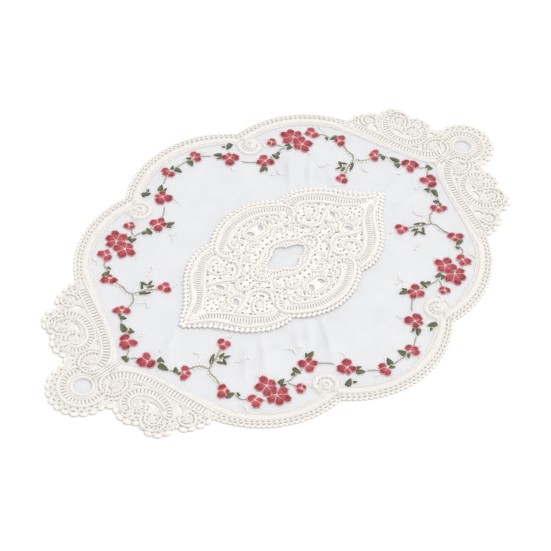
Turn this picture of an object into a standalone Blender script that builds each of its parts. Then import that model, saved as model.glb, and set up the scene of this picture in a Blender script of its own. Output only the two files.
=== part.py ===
"""An oval table doily of machine lace.

Three pieces, as a maker would sew them: a sheer organza ground with padded
flower embroidery, a guipure lace border round it with a crest at each end, and
a lace medallion sewn on the middle. It lies flat on the plane z = 0, with its
long way along X, and its origin is the centre of its underside.

Plan sizes in the tables are millimetres, for the quarter with x and y above 0.
Both lace pieces are drawn for that quarter and mirrored across both middles.
"""
import math
from collections import namedtuple

import bpy
import bmesh

MM = 0.001

# ---------------------------------------------------------------- driving sizes
SHEET = 1.0               # the organza, as thick as a thin solid sheet may be
LACE = 1.4                # the border's web
MEDALLION_LACE = 1.2      # the medallion's web
SEAM_GAP = 0.3            # air between two pieces, where the real ones are sewn
PETAL_POINTS = 4          # points of a flower's outline for each petal
PETAL_NOTCH = 0.16        # how deep the outline is drawn in between petals, as a share
PAD_RISE = 0.7            # satin-stitch flowers and leaves above the organza
SINK = 0.25               # how far a rope's axis lies inside the web it is worked on
MEDALLION_TURN = 0.9      # degrees: the medallion is sewn on a little askew
WELD = 0.00001            # metres
FLAT_ANGLE = 0.5          # degrees: faces closer than this to one plane are merged
HOLE_STEP = 2.4           # spacing of points round an opening
BAND_STEP = 10.0          # spacing of points along the lobes' bands
ROPE_ANGLE = 32           # degrees of a scroll between two points of its rope
STAGGER = 0.013           # each rope lies this much deeper than the last, so none are level

BAND = 13.6               # the lobed border's width, from its edge to the organza
PICOT = 4.15              # pitch of the small picots round the lobes
CREST_PICOT = 6.8         # pitch of the larger ones round the crest
PICOT_DEPTH = 1.0
PEARL = 4.0               # pitch of the pearls round the medallion
PEARL_DEPTH = 0.9
TOOTH = ((0.0, 1.0), (0.32, 0.0), (0.68, 0.0))    # a picot's points: share of its pitch, of its depth
BLADE = ((-1.0, 0.0), (-0.45, 1.0), (0.3, 0.9), (1.0, 0.0), (0.3, -0.9), (-0.45, -1.0))   # a leaf's

# A quarter is drawn a little past both middles, then cut there and mirrored.
PAST_MIDDLE = 93          # degrees: where the bands start, beyond the long side's middle
PAST_TIP = ((165.5, -10.7), (158.6, -10.7))       # the border's last corners, below the long axis
DRAWN_PAST = 6.0          # the same for the medallion
BELOW_ALL, ABOVE_ALL = -5.0, 10.0                 # levels that a cutter runs between

# ---------------------------------------------------------------- plan tables
# The outer edge is a chain of rounds, met one after the other from the middle
# of the long side to the tip of the ring at the end.
Round = namedtuple("Round", "x y radius picot")
MIDDLE_LOBE = Round(0.0, 66.9, 84.7, PICOT)
END_LOBE = Round(66.8, 44.0, 84.7, PICOT)
RING = Round(199.0, 0.0, 25.3, CREST_PICOT)
EDGE = (
    MIDDLE_LOBE,
    END_LOBE,
    Round(148.5, 71.6, 11.6, CREST_PICOT),
    Round(157.5, 70.3, 10.0, CREST_PICOT),
    Round(174.5, 59.2, 13.0, CREST_PICOT),
    Round(178.3, 38.5, 16.0, CREST_PICOT),
    Round(187.0, 21.5, 9.0, CREST_PICOT),
    RING,
)
SCROLL = Round(57.5, 110.5, 10.4, 0)         # the end lobe's band curls up here

# Where the organza ends along the crest, from the end lobe to the long middle.
CREST_SEAM = ((131.5, 75.0), (140.0, 54.0), (146.5, 36.0), (154.0, 18.0), (165.5, 0.0))
# The crest's ladder band runs beside that seam.
CREST_LADDER = ((138.0, 79.0), (145.0, 58.0), (151.5, 36.0), (156.5, 25.0),
                (163.0, 15.0), (171.0, 8.0), (178.5, 5.5))

# The raised bands that follow the lobes, and where they turn into the crest.
Band = namedtuple("Band", "across width rise")
BANDS = (Band(8.6, 4.4, 0.8), Band(12.2, 2.0, 0.9))
BAND_OVERLAP = 4          # degrees that an end band starts before the lobes' corner
END_BAND_LIFT = 0.05      # an end band stands this much above the middle one that it meets
END_BAND_STOP = 30        # degrees
WIDE_ROPE = 3.0           # ropes wider than this get a rounder section
LADDER_WIDTH = 6.4
LADDER_RISE = 0.6
LADDER_STEP = 7.0         # spacing of points along the ladder
ROPE_STEP = 5.0           # and along the medallion's ropes

# Ropes that follow part of a round: start and stop are degrees, end is the radius
# at the far end where a rope winds inwards.
Turn = namedtuple("Turn", "x y radius end start stop width rise")
CREST_ROPES = (
    Turn(178.5, 12.3, 10.3, 10.3, -100, 170, 2.6, 1.0),    # scroll beside the axis
    Turn(172.5, 41.5, 16.6, 14.2, 115, 330, 2.2, 1.0),     # outer rail of the C scroll
    Turn(172.5, 41.5, 10.8, 9.5, 135, 340, 2.2, 0.9),      # its inner rail
    Turn(174.3, 57.0, 9.0, 7.8, 130, -60, 2.0, 0.9),       # small curl over it
    Turn(156.0, 71.5, 5.2, 4.2, 200, -60, 2.0, 0.9),       # curl in the shoulder
    Turn(199.0, 0.0, 17.6, 17.6, 205, -25, 3.0, 1.0),      # round the ring
    Turn(198.0, 0.0, 9.6, 9.6, 215, -35, 3.0, 1.0),        # round its eyelet
)
SCROLL_ROPES = (
    Turn(57.5, 110.5, 8.6, 7.2, 75, 330, 2.6, 1.0),
    Turn(58.5, 110.5, 4.2, 1.6, 100, 300, 2.2, 0.7),
)

# Openings over 4 mm that go right through: an oval each, turned by degrees.
Hole = namedtuple("Hole", "x y length width turn")
CREST_HOLES = (
    Hole(197.0, 0.0, 13.0, 13.0, 0),      # eyelet in the ring
    Hole(155.2, 60.0, 10.5, 4.6, 72),
    Hole(166.3, 44.0, 11.5, 4.4, 95),
    Hole(187.0, 26.4, 4.8, 4.2, 50),
)
MEDALLION_HOLES = (
    Hole(5.2, 35.5, 8.2, 5.2, 65),
    Hole(59.6, 9.6, 8.6, 4.8, 68),
)
CENTRE_HOLE = Hole(0.0, 0.0, 40.0, 25.0, 0)

# The medallion's edge, ropes and scrolls.
MEDALLION_LOBE = Round(0.0, 9.4, 53.1, 0)
MEDALLION_SIDE = ((36.0, 48.3), (42.0, 49.4), (52.0, 48.4), (62.0, 44.3), (72.0, 37.2), (80.0, 29.0),
                  (86.5, 20.5), (93.0, 13.6), (100.0, 8.0), (107.5, 1.6))
Rope = namedtuple("Rope", "width rise points")
MEDALLION_ROPES = (
    Rope(2.4, 1.0, ((-6.0, 56.6), (0.0, 57.2), (10.0, 56.2), (20.0, 52.6), (28.0, 47.6), (34.5, 43.0),
                    (38.3, 37.0), (37.0, 31.0), (32.0, 27.4))),
    Rope(2.6, 0.9, ((-6.0, 48.0), (0.0, 48.4), (10.0, 47.2), (18.0, 43.6), (24.6, 39.2), (26.2, 34.6),
                    (28.6, 32.8))),
    Rope(2.4, 1.0, ((37.0, 43.4), (42.0, 43.7), (50.0, 42.4), (60.0, 38.4), (70.0, 31.0), (77.0, 21.6),
                    (84.0, 12.4), (93.0, 6.0), (101.0, 2.2))),
    Rope(2.6, 0.9, ((38.8, 34.2), (45.0, 35.0), (52.0, 33.0), (60.0, 27.2), (67.0, 19.0), (74.0, 11.2),
                    (84.0, 3.4))),
    Rope(3.0, 1.0, ((37.6, 26.6), (33.6, 20.4), (36.0, 13.2), (41.4, 9.4), (47.0, 9.4), (52.4, 12.8),
                    (60.0, 16.0), (66.5, 17.4))),
    Rope(2.6, 0.9, ((51.6, 10.6), (53.0, 5.6), (57.4, 2.9), (62.4, 3.4), (64.6, 7.6), (63.8, 12.6))),
)
CENTRE_ROPE = Turn(0.0, 0.0, 22.6, 15.0, -30, 120, 2.4, 0.9)      # an oval: radius by end
CENTRE_ROPE_POINTS = 14
CENTRE_STEP = 4.2         # spacing of points round the middle opening

# Padded flowers and leaves on the organza, ovals turned by degrees. A flower's
# outline has one bulge for each petal.
Flower = namedtuple("Flower", "x y length width turn petals")
FLOWERS = (
    Flower(14.6, 128.0, 13.0, 8.4, 66, 2),
    Flower(35.4, 108.4, 14.6, 13.0, 10, 4),
    Flower(56.0, 88.6, 14.6, 13.4, 35, 4),
    Flower(74.4, 101.8, 8.6, 7.6, 60, 3),
    Flower(91.8, 98.0, 17.6, 14.6, 0, 5),
    Flower(92.6, 82.8, 14.0, 13.0, 30, 5),
    Flower(108.0, 89.6, 11.0, 9.4, 75, 3),
    Flower(120.8, 68.4, 13.0, 8.6, 45, 3),
    Flower(131.4, 38.0, 11.6, 8.8, 35, 2),
    Flower(92.2, 35.0, 9.6, 9.0, 100, 3),
    Flower(147.0, 11.6, 13.0, 11.6, 100, 3),
)
Leaf = namedtuple("Leaf", "x y length width turn")
LEAVES = (
    Leaf(5.6, 125.0, 7.4, 5.2, 75),
    Leaf(28.0, 118.8, 6.4, 4.6, 120),
    Leaf(41.6, 119.2, 8.0, 4.6, 22),
    Leaf(46.0, 82.4, 7.6, 5.0, 20),
    Leaf(66.8, 87.6, 8.0, 4.0, 80),
    Leaf(79.4, 88.4, 7.0, 4.2, 5),
    Leaf(115.6, 77.0, 7.6, 4.6, 145),
    Leaf(106.6, 40.6, 11.0, 3.8, 36),
    Leaf(141.0, 25.0, 10.0, 4.4, 105),
)

# Soft folds in the organza, each a low ridge between two points. They are not
# mirrored: the cloth is drawn a little unevenly between medallion and border.
Fold = namedtuple("Fold", "x y far_x far_y width height")
FOLDS = (
    Fold(-12.0, -64.0, -42.0, -100.0, 15.0, 1.6),
    Fold(-62.0, -56.0, -96.0, -76.0, 15.0, 1.3),
    Fold(-40.0, -64.0, -52.0, -76.0, 10.0, 0.8),
    Fold(-112.0, -12.0, -146.0, -20.0, 13.0, 1.0),
    Fold(56.0, 58.0, 80.0, 82.0, 15.0, 1.6),
    Fold(80.0, 52.0, 98.0, 68.0, 12.0, 1.1),
    Fold(88.0, -24.0, 138.0, -14.0, 13.0, 1.4),
    Fold(12.0, 72.0, 34.0, 98.0, 16.0, 0.9),
    Fold(-60.0, 60.0, -76.0, 76.0, 13.0, 0.8),
)
FLAT_MIDDLE = (119.0, 74.0)      # half axes of the organza's flat part, under the medallion
FLAT_FADE = 0.12                 # share of those in which the folds rise
GRID_SIZE = (342.0, 288.0)       # a folded sheet larger than the ground, trimmed to its outline
GRID_CELLS = (29, 25)
GROUND_STEP = 8.0                # spacing of the ground's points along its edge
CHORD_SAG = 0.15                 # the most that a straight step strays from a round


# ---------------------------------------------------------------- plan geometry
def arc(x, y, radius, start, stop, step, end=None):
    """Points of a round from start to stop degrees; it winds to the radius end."""
    end = radius if end is None else end
    sweep = math.radians(stop - start)
    count = max(2, round(abs(sweep) * max(radius, end) / step))
    points = []
    for i in range(count + 1):
        t = i / count
        r = radius + (end - radius) * t
        a = math.radians(start) + sweep * t
        points.append((x + r * math.cos(a), y + r * math.sin(a)))
    return points


def smooth(points, step):
    """A soft curve (Catmull-Rom) through hand-set points, every step or so."""
    first = [2 * a - b for a, b in zip(points[0], points[1])]
    last = [2 * a - b for a, b in zip(points[-1], points[-2])]
    knots = [first, *points, last]
    curve = []
    for i in range(1, len(knots) - 2):
        a, b, c, d = knots[i - 1:i + 3]
        count = max(1, round(math.dist(b, c) / step))
        for k in range(count):
            t = k / count
            curve.append(tuple(0.5 * (2 * b[j] + (c[j] - a[j]) * t
                                      + (2 * a[j] - 5 * b[j] + 4 * c[j] - d[j]) * t * t
                                      + (3 * b[j] - a[j] - 3 * c[j] + d[j]) * t ** 3) for j in (0, 1)))
    return curve + [tuple(points[-1])]


def crossing(a, b, side=1):
    """Where two rounds cross, on the left (1) or right (-1) of the way from a to b."""
    dx, dy = b.x - a.x, b.y - a.y
    apart = math.hypot(dx, dy)
    along = (a.radius ** 2 - b.radius ** 2 + apart ** 2) / (2 * apart)
    off = side * math.sqrt(a.radius ** 2 - along ** 2)
    return a.x + (dx * along - dy * off) / apart, a.y + (dy * along + dx * off) / apart


def bearing(centre, point):
    return math.degrees(math.atan2(point[1] - centre.y, point[0] - centre.x))


def inset(shape, by):
    return shape._replace(radius=shape.radius - by)


def picots(centre, start, stop, pitch, depth):
    """Small rounded teeth along a round, from start to stop degrees."""
    length = math.radians(abs(stop - start)) * centre.radius
    count = max(1, round(length / pitch))
    points = []
    for i in range(count):
        for share, dip in TOOTH:
            a = math.radians(start + (stop - start) * (i + share) / count)
            r = centre.radius - dip * depth
            points.append((centre.x + r * math.cos(a), centre.y + r * math.sin(a)))
    return points


def outer_edge():
    """The picoted edge, clockwise from just past the long side's middle to past the tip."""
    points = []
    start = 90 + math.degrees(0.5 * PICOT / MIDDLE_LOBE.radius)
    for i, piece in enumerate(EDGE):
        if i + 1 < len(EDGE):
            stop = bearing(piece, crossing(piece, EDGE[i + 1]))
        else:
            stop = -math.degrees(1.5 * CREST_PICOT / RING.radius)
        points += picots(piece, start, stop, piece.picot, PICOT_DEPTH)
        if i + 1 < len(EDGE):
            start = bearing(EDGE[i + 1], crossing(piece, EDGE[i + 1]))
    return points


def seam(gap, step):
    """Where the organza meets the border, clockwise over one quarter, drawn in by gap."""
    middle, end = inset(MIDDLE_LOBE, BAND + gap), inset(END_LOBE, BAND + gap)
    scroll = SCROLL._replace(radius=SCROLL.radius + gap)
    into_scroll = crossing(middle, scroll)
    out_of_scroll = crossing(end, scroll, side=-1)
    crest = [(x - gap, y) for x, y in CREST_SEAM]
    points = arc(*middle[:3], 90, bearing(middle, into_scroll), step)[:-1]
    points += arc(*scroll[:3], bearing(scroll, into_scroll) % 360,
                  bearing(scroll, out_of_scroll) % 360 + 360, step * 0.5)[:-1]
    points += arc(*end[:3], bearing(end, out_of_scroll), bearing(end, crest[0]), step)[:-1]
    return points + smooth(crest, step)


def oval(shape, step):
    """An oval's points, for a hole: a multiple of four, none of them on its axes."""
    count = 4 * max(2, round(math.pi * (shape.length + shape.width) / 8 / step))
    turn = math.radians(shape.turn)
    points = []
    for i in range(count):
        a = 2 * math.pi * (i + 0.5) / count
        u, v = shape.length / 2 * math.cos(a), shape.width / 2 * math.sin(a)
        points.append((shape.x + u * math.cos(turn) - v * math.sin(turn),
                       shape.y + u * math.sin(turn) + v * math.cos(turn)))
    return points


def bloom(flower):
    """A flower's outline: an oval drawn in between its petals."""
    count = flower.petals * PETAL_POINTS
    turn = math.radians(flower.turn)
    points = []
    for i in range(count):
        a = 2 * math.pi * i / count
        r = 1 - PETAL_NOTCH * (0.5 + 0.5 * math.cos(flower.petals * a)) ** 2
        u, v = flower.length / 2 * r * math.cos(a), flower.width / 2 * r * math.sin(a)
        points.append((flower.x + u * math.cos(turn) - v * math.sin(turn),
                       flower.y + u * math.sin(turn) + v * math.cos(turn)))
    return points


def blade(leaf):
    """A leaf's outline, pointed at both ends."""
    turn = math.radians(leaf.turn)
    points = []
    for share, side in BLADE:
        u, v = leaf.length / 2 * share, leaf.width / 2 * side
        points.append((leaf.x + u * math.cos(turn) - v * math.sin(turn),
                       leaf.y + u * math.sin(turn) + v * math.cos(turn)))
    return points


def fold_height(x, y):
    """How far the organza lifts at a point, in millimetres."""
    lift = 0.0
    for fold in FOLDS:
        dx, dy = fold.far_x - fold.x, fold.far_y - fold.y
        run = math.hypot(dx, dy)
        along = ((x - fold.x) * dx + (y - fold.y) * dy) / run / run
        across = ((y - fold.y) * dx - (x - fold.x) * dy) / run
        if 0 < along < 1 and abs(across) < fold.width:
            ridge = 0.5 + 0.5 * math.cos(math.pi * across / fold.width)
            lift = max(lift, fold.height * ridge * math.sin(math.pi * along) ** 0.7)
    beyond = math.hypot(x / FLAT_MIDDLE[0], y / FLAT_MIDDLE[1]) - 1
    return lift * min(max(beyond / FLAT_FADE, 0.0), 1.0)


# ---------------------------------------------------------------- Blender helpers
def clear_scene():
    for item in list(bpy.data.objects):
        bpy.data.objects.remove(item, do_unlink=True)


def finish(name, colour, roughness):
    """A plain cloth material."""
    material = bpy.data.materials.new(name)
    material.use_nodes = True
    shader = material.node_tree.nodes["Principled BSDF"]
    shader.inputs["Base Color"].default_value = (*colour, 1.0)
    shader.inputs["Roughness"].default_value = roughness
    shader.inputs["Metallic"].default_value = 0.0
    return material


def evaluated_mesh(item):
    graph = bpy.context.evaluated_depsgraph_get()
    return bpy.data.meshes.new_from_object(item.evaluated_get(graph))


def solid_from_curve(name, curve, height, above=1.0, below=1.0):
    """A curve's closed mesh at a height, stretched above and below its middle plane."""
    item = bpy.data.objects.new(name, curve)
    bpy.context.scene.collection.objects.link(item)
    bpy.context.view_layer.update()
    mesh = evaluated_mesh(item)
    bpy.data.objects.remove(item, do_unlink=True)
    body = bmesh.new()
    body.from_mesh(mesh)
    for vertex in body.verts:
        vertex.co.z = vertex.co.z * (above if vertex.co.z > 0 else below) + height
    bmesh.ops.remove_doubles(body, verts=body.verts, dist=WELD)
    bmesh.ops.recalc_face_normals(body, faces=body.faces)
    body.to_mesh(mesh)
    body.free()
    mesh.name = name
    solid = bpy.data.objects.new(name, mesh)
    bpy.context.scene.collection.objects.link(solid)
    return solid


def new_spline(curve, points, cyclic):
    spline = curve.splines.new("POLY")
    spline.points.add(len(points) - 1)
    for slot, (x, y) in zip(spline.points, points):
        slot.co = (x * MM, y * MM, 0.0, 1.0)
    spline.use_cyclic_u = cyclic


def plate(name, outlines, bottom, top):
    """A flat outline with its holes, extruded from bottom to top."""
    curve = bpy.data.curves.new(name, "CURVE")
    curve.dimensions = "2D"
    curve.fill_mode = "BOTH"
    curve.extrude = (top - bottom) / 2 * MM
    for points in outlines:
        new_spline(curve, points, True)
    return solid_from_curve(name, curve, (top + bottom) / 2 * MM)


def rope(name, points, width, rise, web_top, rounding=0):
    """A padded rope on a web: a tube, pressed to the height that it stands up."""
    curve = bpy.data.curves.new(name, "CURVE")
    curve.dimensions = "3D"
    curve.bevel_depth = width / 2 * MM
    curve.bevel_resolution = rounding
    curve.use_fill_caps = True
    new_spline(curve, points, False)
    half = width / 2
    return solid_from_curve(name, curve, (web_top - SINK) * MM, (rise + SINK) / half, SINK / half)


def merge_flat_faces(mesh):
    """Take out the extra edges that a Boolean leaves across flat faces."""
    body = bmesh.new()
    body.from_mesh(mesh)
    bmesh.ops.dissolve_limit(body, angle_limit=math.radians(FLAT_ANGLE), verts=body.verts, edges=body.edges)
    bmesh.ops.triangulate(body, faces=body.faces)
    body.to_mesh(mesh)
    body.free()


def unite(body, others):
    """Fuse other solids into a body in one step, and remove them."""
    group = bpy.data.collections.new("to join")
    bpy.context.scene.collection.children.link(group)
    for other in others:
        group.objects.link(other)
    join = body.modifiers.new("join", "BOOLEAN")
    join.operation = "UNION"
    join.solver = "EXACT"
    join.operand_type = "COLLECTION"
    join.collection = group
    mesh = evaluated_mesh(body)
    body.modifiers.remove(join)
    body.data = mesh
    merge_flat_faces(mesh)
    for other in others:
        bpy.data.objects.remove(other, do_unlink=True)
    bpy.data.collections.remove(group)


def stagger(ropes):
    for i, item in enumerate(ropes):
        item.location.z = -STAGGER * i * MM


def four_quarters(piece):
    """Cut a quarter, drawn a little past both middles, and mirror it to the whole piece."""
    body = bmesh.new()
    body.from_mesh(piece.data)
    for axis in (0, 1):
        normal = [0.0, 0.0, 0.0]
        normal[axis] = -1.0
        everything = list(body.verts) + list(body.edges) + list(body.faces)
        bmesh.ops.bisect_plane(body, geom=everything, dist=WELD, plane_co=(0.0, 0.0, 0.0),
                               plane_no=normal, clear_outer=True)
        for vertex in body.verts:
            if abs(vertex.co[axis]) < WELD:
                vertex.co[axis] = 0.0
        bmesh.ops.remove_doubles(body, verts=body.verts, dist=WELD)
        bmesh.ops.dissolve_degenerate(body, edges=body.edges, dist=WELD)
    body.to_mesh(piece.data)
    body.free()
    mirror = piece.modifiers.new("four quarters", "MIRROR")
    mirror.use_axis = (True, True, False)
    mirror.use_mirror_merge = True
    mirror.merge_threshold = WELD


def place(body, collection, material):
    bpy.context.scene.collection.objects.unlink(body)
    collection.objects.link(body)
    body.data.materials.clear()
    body.data.materials.append(material)


# ---------------------------------------------------------------- the pieces
def lace_border():
    """The lobed lace edge with its satin band, and the crest and ring at each end."""
    inner = seam(0.0, GROUND_STEP)
    start = arc(*inset(MIDDLE_LOBE, BAND)[:3], PAST_MIDDLE, 90, GROUND_STEP)[:-1]
    outline = outer_edge() + list(PAST_TIP) + list(reversed(start + inner))
    holes = [oval(hole, HOLE_STEP) for hole in CREST_HOLES]
    border = plate("lace_border", [outline, *holes], 0.0, LACE)

    ropes = []
    for band in BANDS:
        middle, end = inset(MIDDLE_LOBE, band.across), inset(END_LOBE, band.across)
        corner = crossing(middle, end)
        rounding = 1 if band.width > WIDE_ROPE else 0
        path = arc(*middle[:3], PAST_MIDDLE, bearing(middle, corner), BAND_STEP)
        ropes.append(rope("middle band", path, band.width, band.rise, LACE, rounding))
        path = arc(*end[:3], bearing(end, corner) + BAND_OVERLAP, END_BAND_STOP, BAND_STEP)
        ropes.append(rope("end band", path, band.width, band.rise + END_BAND_LIFT, LACE, rounding))
    ladder = smooth(CREST_LADDER, LADDER_STEP)
    ropes.append(rope("crest ladder", ladder, LADDER_WIDTH, LADDER_RISE, LACE, 1))
    for turn in CREST_ROPES + SCROLL_ROPES:
        step = math.radians(ROPE_ANGLE) * max(turn.radius, turn.end)
        path = arc(turn.x, turn.y, turn.radius, turn.start, turn.stop, step, turn.end)
        ropes.append(rope("scroll", path, turn.width, turn.rise, LACE))
    stagger(ropes)
    unite(border, ropes)
    four_quarters(border)
    return border


def lace_medallion():
    """The pointed lace medallion sewn on the middle, with its openings cut through."""
    bottom = SHEET + SEAM_GAP
    web_top = bottom + MEDALLION_LACE
    lobe_end = bearing(MEDALLION_LOBE, MEDALLION_SIDE[0])
    side = smooth(MEDALLION_SIDE, PEARL / 3)
    for i in range(0, len(side), 3):
        before, beyond = side[max(i - 1, 0)], side[min(i + 1, len(side) - 1)]
        run = math.dist(before, beyond)
        side[i] = (side[i][0] + (beyond[1] - before[1]) / run * PEARL_DEPTH,
                   side[i][1] + (before[0] - beyond[0]) / run * PEARL_DEPTH)
    lobe_start = 90 + math.degrees(1.5 * PEARL / MEDALLION_LOBE.radius)
    lobe = picots(MEDALLION_LOBE, lobe_start, lobe_end, PEARL, PEARL_DEPTH)
    outline = lobe + side + [(MEDALLION_SIDE[-1][0], -DRAWN_PAST), (-DRAWN_PAST, -DRAWN_PAST)]
    holes = [oval(hole, HOLE_STEP) for hole in MEDALLION_HOLES]
    medallion = plate("lace_medallion", [outline, *holes], bottom, web_top)

    ropes = [rope("lace rope", smooth(item.points, ROPE_STEP), item.width, item.rise, web_top)
             for item in MEDALLION_ROPES]
    sweep = CENTRE_ROPE.stop - CENTRE_ROPE.start
    angles = [math.radians(CENTRE_ROPE.start + sweep * i / CENTRE_ROPE_POINTS)
              for i in range(CENTRE_ROPE_POINTS + 1)]
    ring = [(CENTRE_ROPE.radius * math.cos(a), CENTRE_ROPE.end * math.sin(a)) for a in angles]
    ropes.append(rope("centre rope", ring, CENTRE_ROPE.width, CENTRE_ROPE.rise, web_top))
    stagger(ropes)
    unite(medallion, ropes)

    cutter = plate("centre cutter", [oval(CENTRE_HOLE, CENTRE_STEP)], BELOW_ALL, ABOVE_ALL)
    cut = medallion.modifiers.new("centre opening", "BOOLEAN")
    cut.operation = "DIFFERENCE"
    cut.solver = "EXACT"
    cut.object = cutter
    medallion.data = evaluated_mesh(medallion)
    medallion.modifiers.remove(cut)
    bpy.data.objects.remove(cutter, do_unlink=True)

    four_quarters(medallion)
    medallion.rotation_euler.z = math.radians(MEDALLION_TURN)
    return medallion


def organza_ground():
    """The sheer ground, flat under the medallion, with its folds and padded flowers."""
    body = bmesh.new()
    bmesh.ops.create_grid(body, x_segments=GRID_CELLS[0], y_segments=GRID_CELLS[1], size=0.5)
    for vertex in body.verts:
        vertex.co.x *= GRID_SIZE[0] * MM
        vertex.co.y *= GRID_SIZE[1] * MM
        vertex.co.z = fold_height(vertex.co.x / MM, vertex.co.y / MM) * MM
    mesh = bpy.data.meshes.new("organza_ground")
    body.to_mesh(mesh)
    body.free()
    ground = bpy.data.objects.new("organza_ground", mesh)
    bpy.context.scene.collection.objects.link(ground)
    thick = ground.modifiers.new("sheet", "SOLIDIFY")
    thick.thickness = SHEET * MM
    thick.offset = 1.0

    quarter = seam(SEAM_GAP + CHORD_SAG, GROUND_STEP)
    edge = []
    for sx, sy in ((1, 1), (1, -1), (-1, -1), (-1, 1)):
        run = quarter[:-1] if sx == sy else list(reversed(quarter[1:]))
        edge += [(x * sx, y * sy) for x, y in run]
    outline = plate("ground outline", [edge], BELOW_ALL, ABOVE_ALL)
    trim = ground.modifiers.new("outline", "BOOLEAN")
    trim.operation = "INTERSECT"
    trim.solver = "EXACT"
    trim.object = outline
    ground.data = evaluated_mesh(ground)
    ground.modifiers.clear()
    merge_flat_faces(ground.data)
    bpy.data.objects.remove(outline, do_unlink=True)

    pads = []
    for shape, outline in [(f, bloom(f)) for f in FLOWERS] + [(f, blade(f)) for f in LEAVES]:
        for sx in (1, -1):
            for sy in (1, -1):
                lift = fold_height(shape.x * sx, shape.y * sy)
                points = [(x * sx, y * sy) for x, y in outline]
                pads.append(plate("pad", [points], lift + SHEET / 2, lift + SHEET + PAD_RISE))
    unite(ground, pads)
    return ground


def build():
    clear_scene()
    collection = bpy.data.collections.new("lace_doily")
    bpy.context.scene.collection.children.link(collection)
    place(lace_border(), collection, finish("lace_cotton", (0.83, 0.80, 0.74), 0.65))
    place(lace_medallion(), collection, finish("lace_medallion_cotton", (0.81, 0.77, 0.71), 0.65))
    place(organza_ground(), collection, finish("organza", (0.86, 0.86, 0.87), 0.4))


build()
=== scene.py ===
import math
import random
from collections import namedtuple

import bpy
import bmesh
from mathutils import Matrix, Vector, kdtree, noise


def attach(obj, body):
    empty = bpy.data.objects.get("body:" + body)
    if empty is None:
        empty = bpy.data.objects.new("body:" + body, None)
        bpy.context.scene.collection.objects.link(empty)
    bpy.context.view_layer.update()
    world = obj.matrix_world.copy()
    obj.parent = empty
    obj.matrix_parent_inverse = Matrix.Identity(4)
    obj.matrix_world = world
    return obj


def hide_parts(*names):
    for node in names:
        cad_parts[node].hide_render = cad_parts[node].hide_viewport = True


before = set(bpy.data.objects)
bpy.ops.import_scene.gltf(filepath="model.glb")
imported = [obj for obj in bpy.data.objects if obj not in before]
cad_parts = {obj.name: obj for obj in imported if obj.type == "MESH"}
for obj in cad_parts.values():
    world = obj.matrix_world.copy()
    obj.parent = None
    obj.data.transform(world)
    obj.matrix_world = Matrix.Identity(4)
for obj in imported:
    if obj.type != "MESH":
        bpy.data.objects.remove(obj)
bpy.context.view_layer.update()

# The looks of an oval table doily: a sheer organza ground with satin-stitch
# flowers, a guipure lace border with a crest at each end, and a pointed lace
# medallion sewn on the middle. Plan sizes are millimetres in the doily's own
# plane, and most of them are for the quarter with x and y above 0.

MM = 0.001

# ------------------------------------------------------------------ heights
ORGANZA_TOP = 1.0          # the flat part of the sheer ground
ORGANZA_THICK = 0.16
BORDER_WEB = (0.12, 1.0)   # underside and top of the border's flat lace
MEDALLION_WEB = (1.2, 1.8)
MEDALLION_TURN = math.radians(0.9)
SOFT_EDGE = 0.2            # rounding of the flat lace at its edges and openings
LEAST_THREAD = 0.5         # narrowest flat lace left between two openings

# ------------------------------------------------------------------ the border
BAND = 13.6                # from the lobes' edge to the organza
PICOT = 4.15               # pitch of the small picots round the lobes
CREST_PICOT = 6.8          # pitch of the larger ones round the crest

Round = namedtuple("Round", "x y radius picot")
MIDDLE_LOBE = Round(0.0, 66.9, 84.7, PICOT)
END_LOBE = Round(66.8, 44.0, 84.7, PICOT)
RING = Round(199.0, 0.0, 25.3, CREST_PICOT)
EDGE = (
    MIDDLE_LOBE,
    END_LOBE,
    Round(148.5, 71.6, 11.6, CREST_PICOT),
    Round(157.5, 70.3, 10.0, CREST_PICOT),
    Round(174.5, 59.2, 13.0, CREST_PICOT),
    Round(178.3, 38.5, 16.0, CREST_PICOT),
    Round(187.0, 21.5, 9.0, CREST_PICOT),
    RING,
)
SCROLL = Round(57.5, 110.5, 10.4, 0)
SCROLL_RIM = (8.2, 3.9)    # the notch scroll's broad smooth rim: how far out, and how wide
SCROLL_RIM_ENDS = (75.0, 352.0)           # degrees
SCROLL_GROOVE = (5.75, 85.0, 335.0)       # the groove inside it: how far out, and its ends in degrees
CREST_SEAM = ((131.5, 75.0), (140.0, 54.0), (146.5, 36.0), (154.0, 18.0), (165.5, 0.0))

# Rows of slits: how far in from an edge or off a cord, their pitch, long and wide.
Slits = namedtuple("Slits", "off pitch long wide")
LOBE_SLITS = (Slits(2.75, PICOT, 2.0, 0.85), Slits(5.35, PICOT, 2.1, 0.95))
CREST_SLITS = ((Slits(3.4, CREST_PICOT, 2.2, 1.5), 0.0), (Slits(6.3, CREST_PICOT, 1.9, 1.3), 0.5))
CORD_SLITS = Slits(0.8, 2.7, 1.6, 0.9)
GROOVE_SLITS = Slits(0.0, 3.0, 2.5, 0.62)
RING_SLITS = Slits(0.0, 2.8, 3.8, 0.62)
CREST_MEET = 1.3           # drawn in further than this, the crest's small rounds no longer meet
LOBE_STOP = 34.0           # where the end lobes' cords turn into the crest, in degrees

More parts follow.
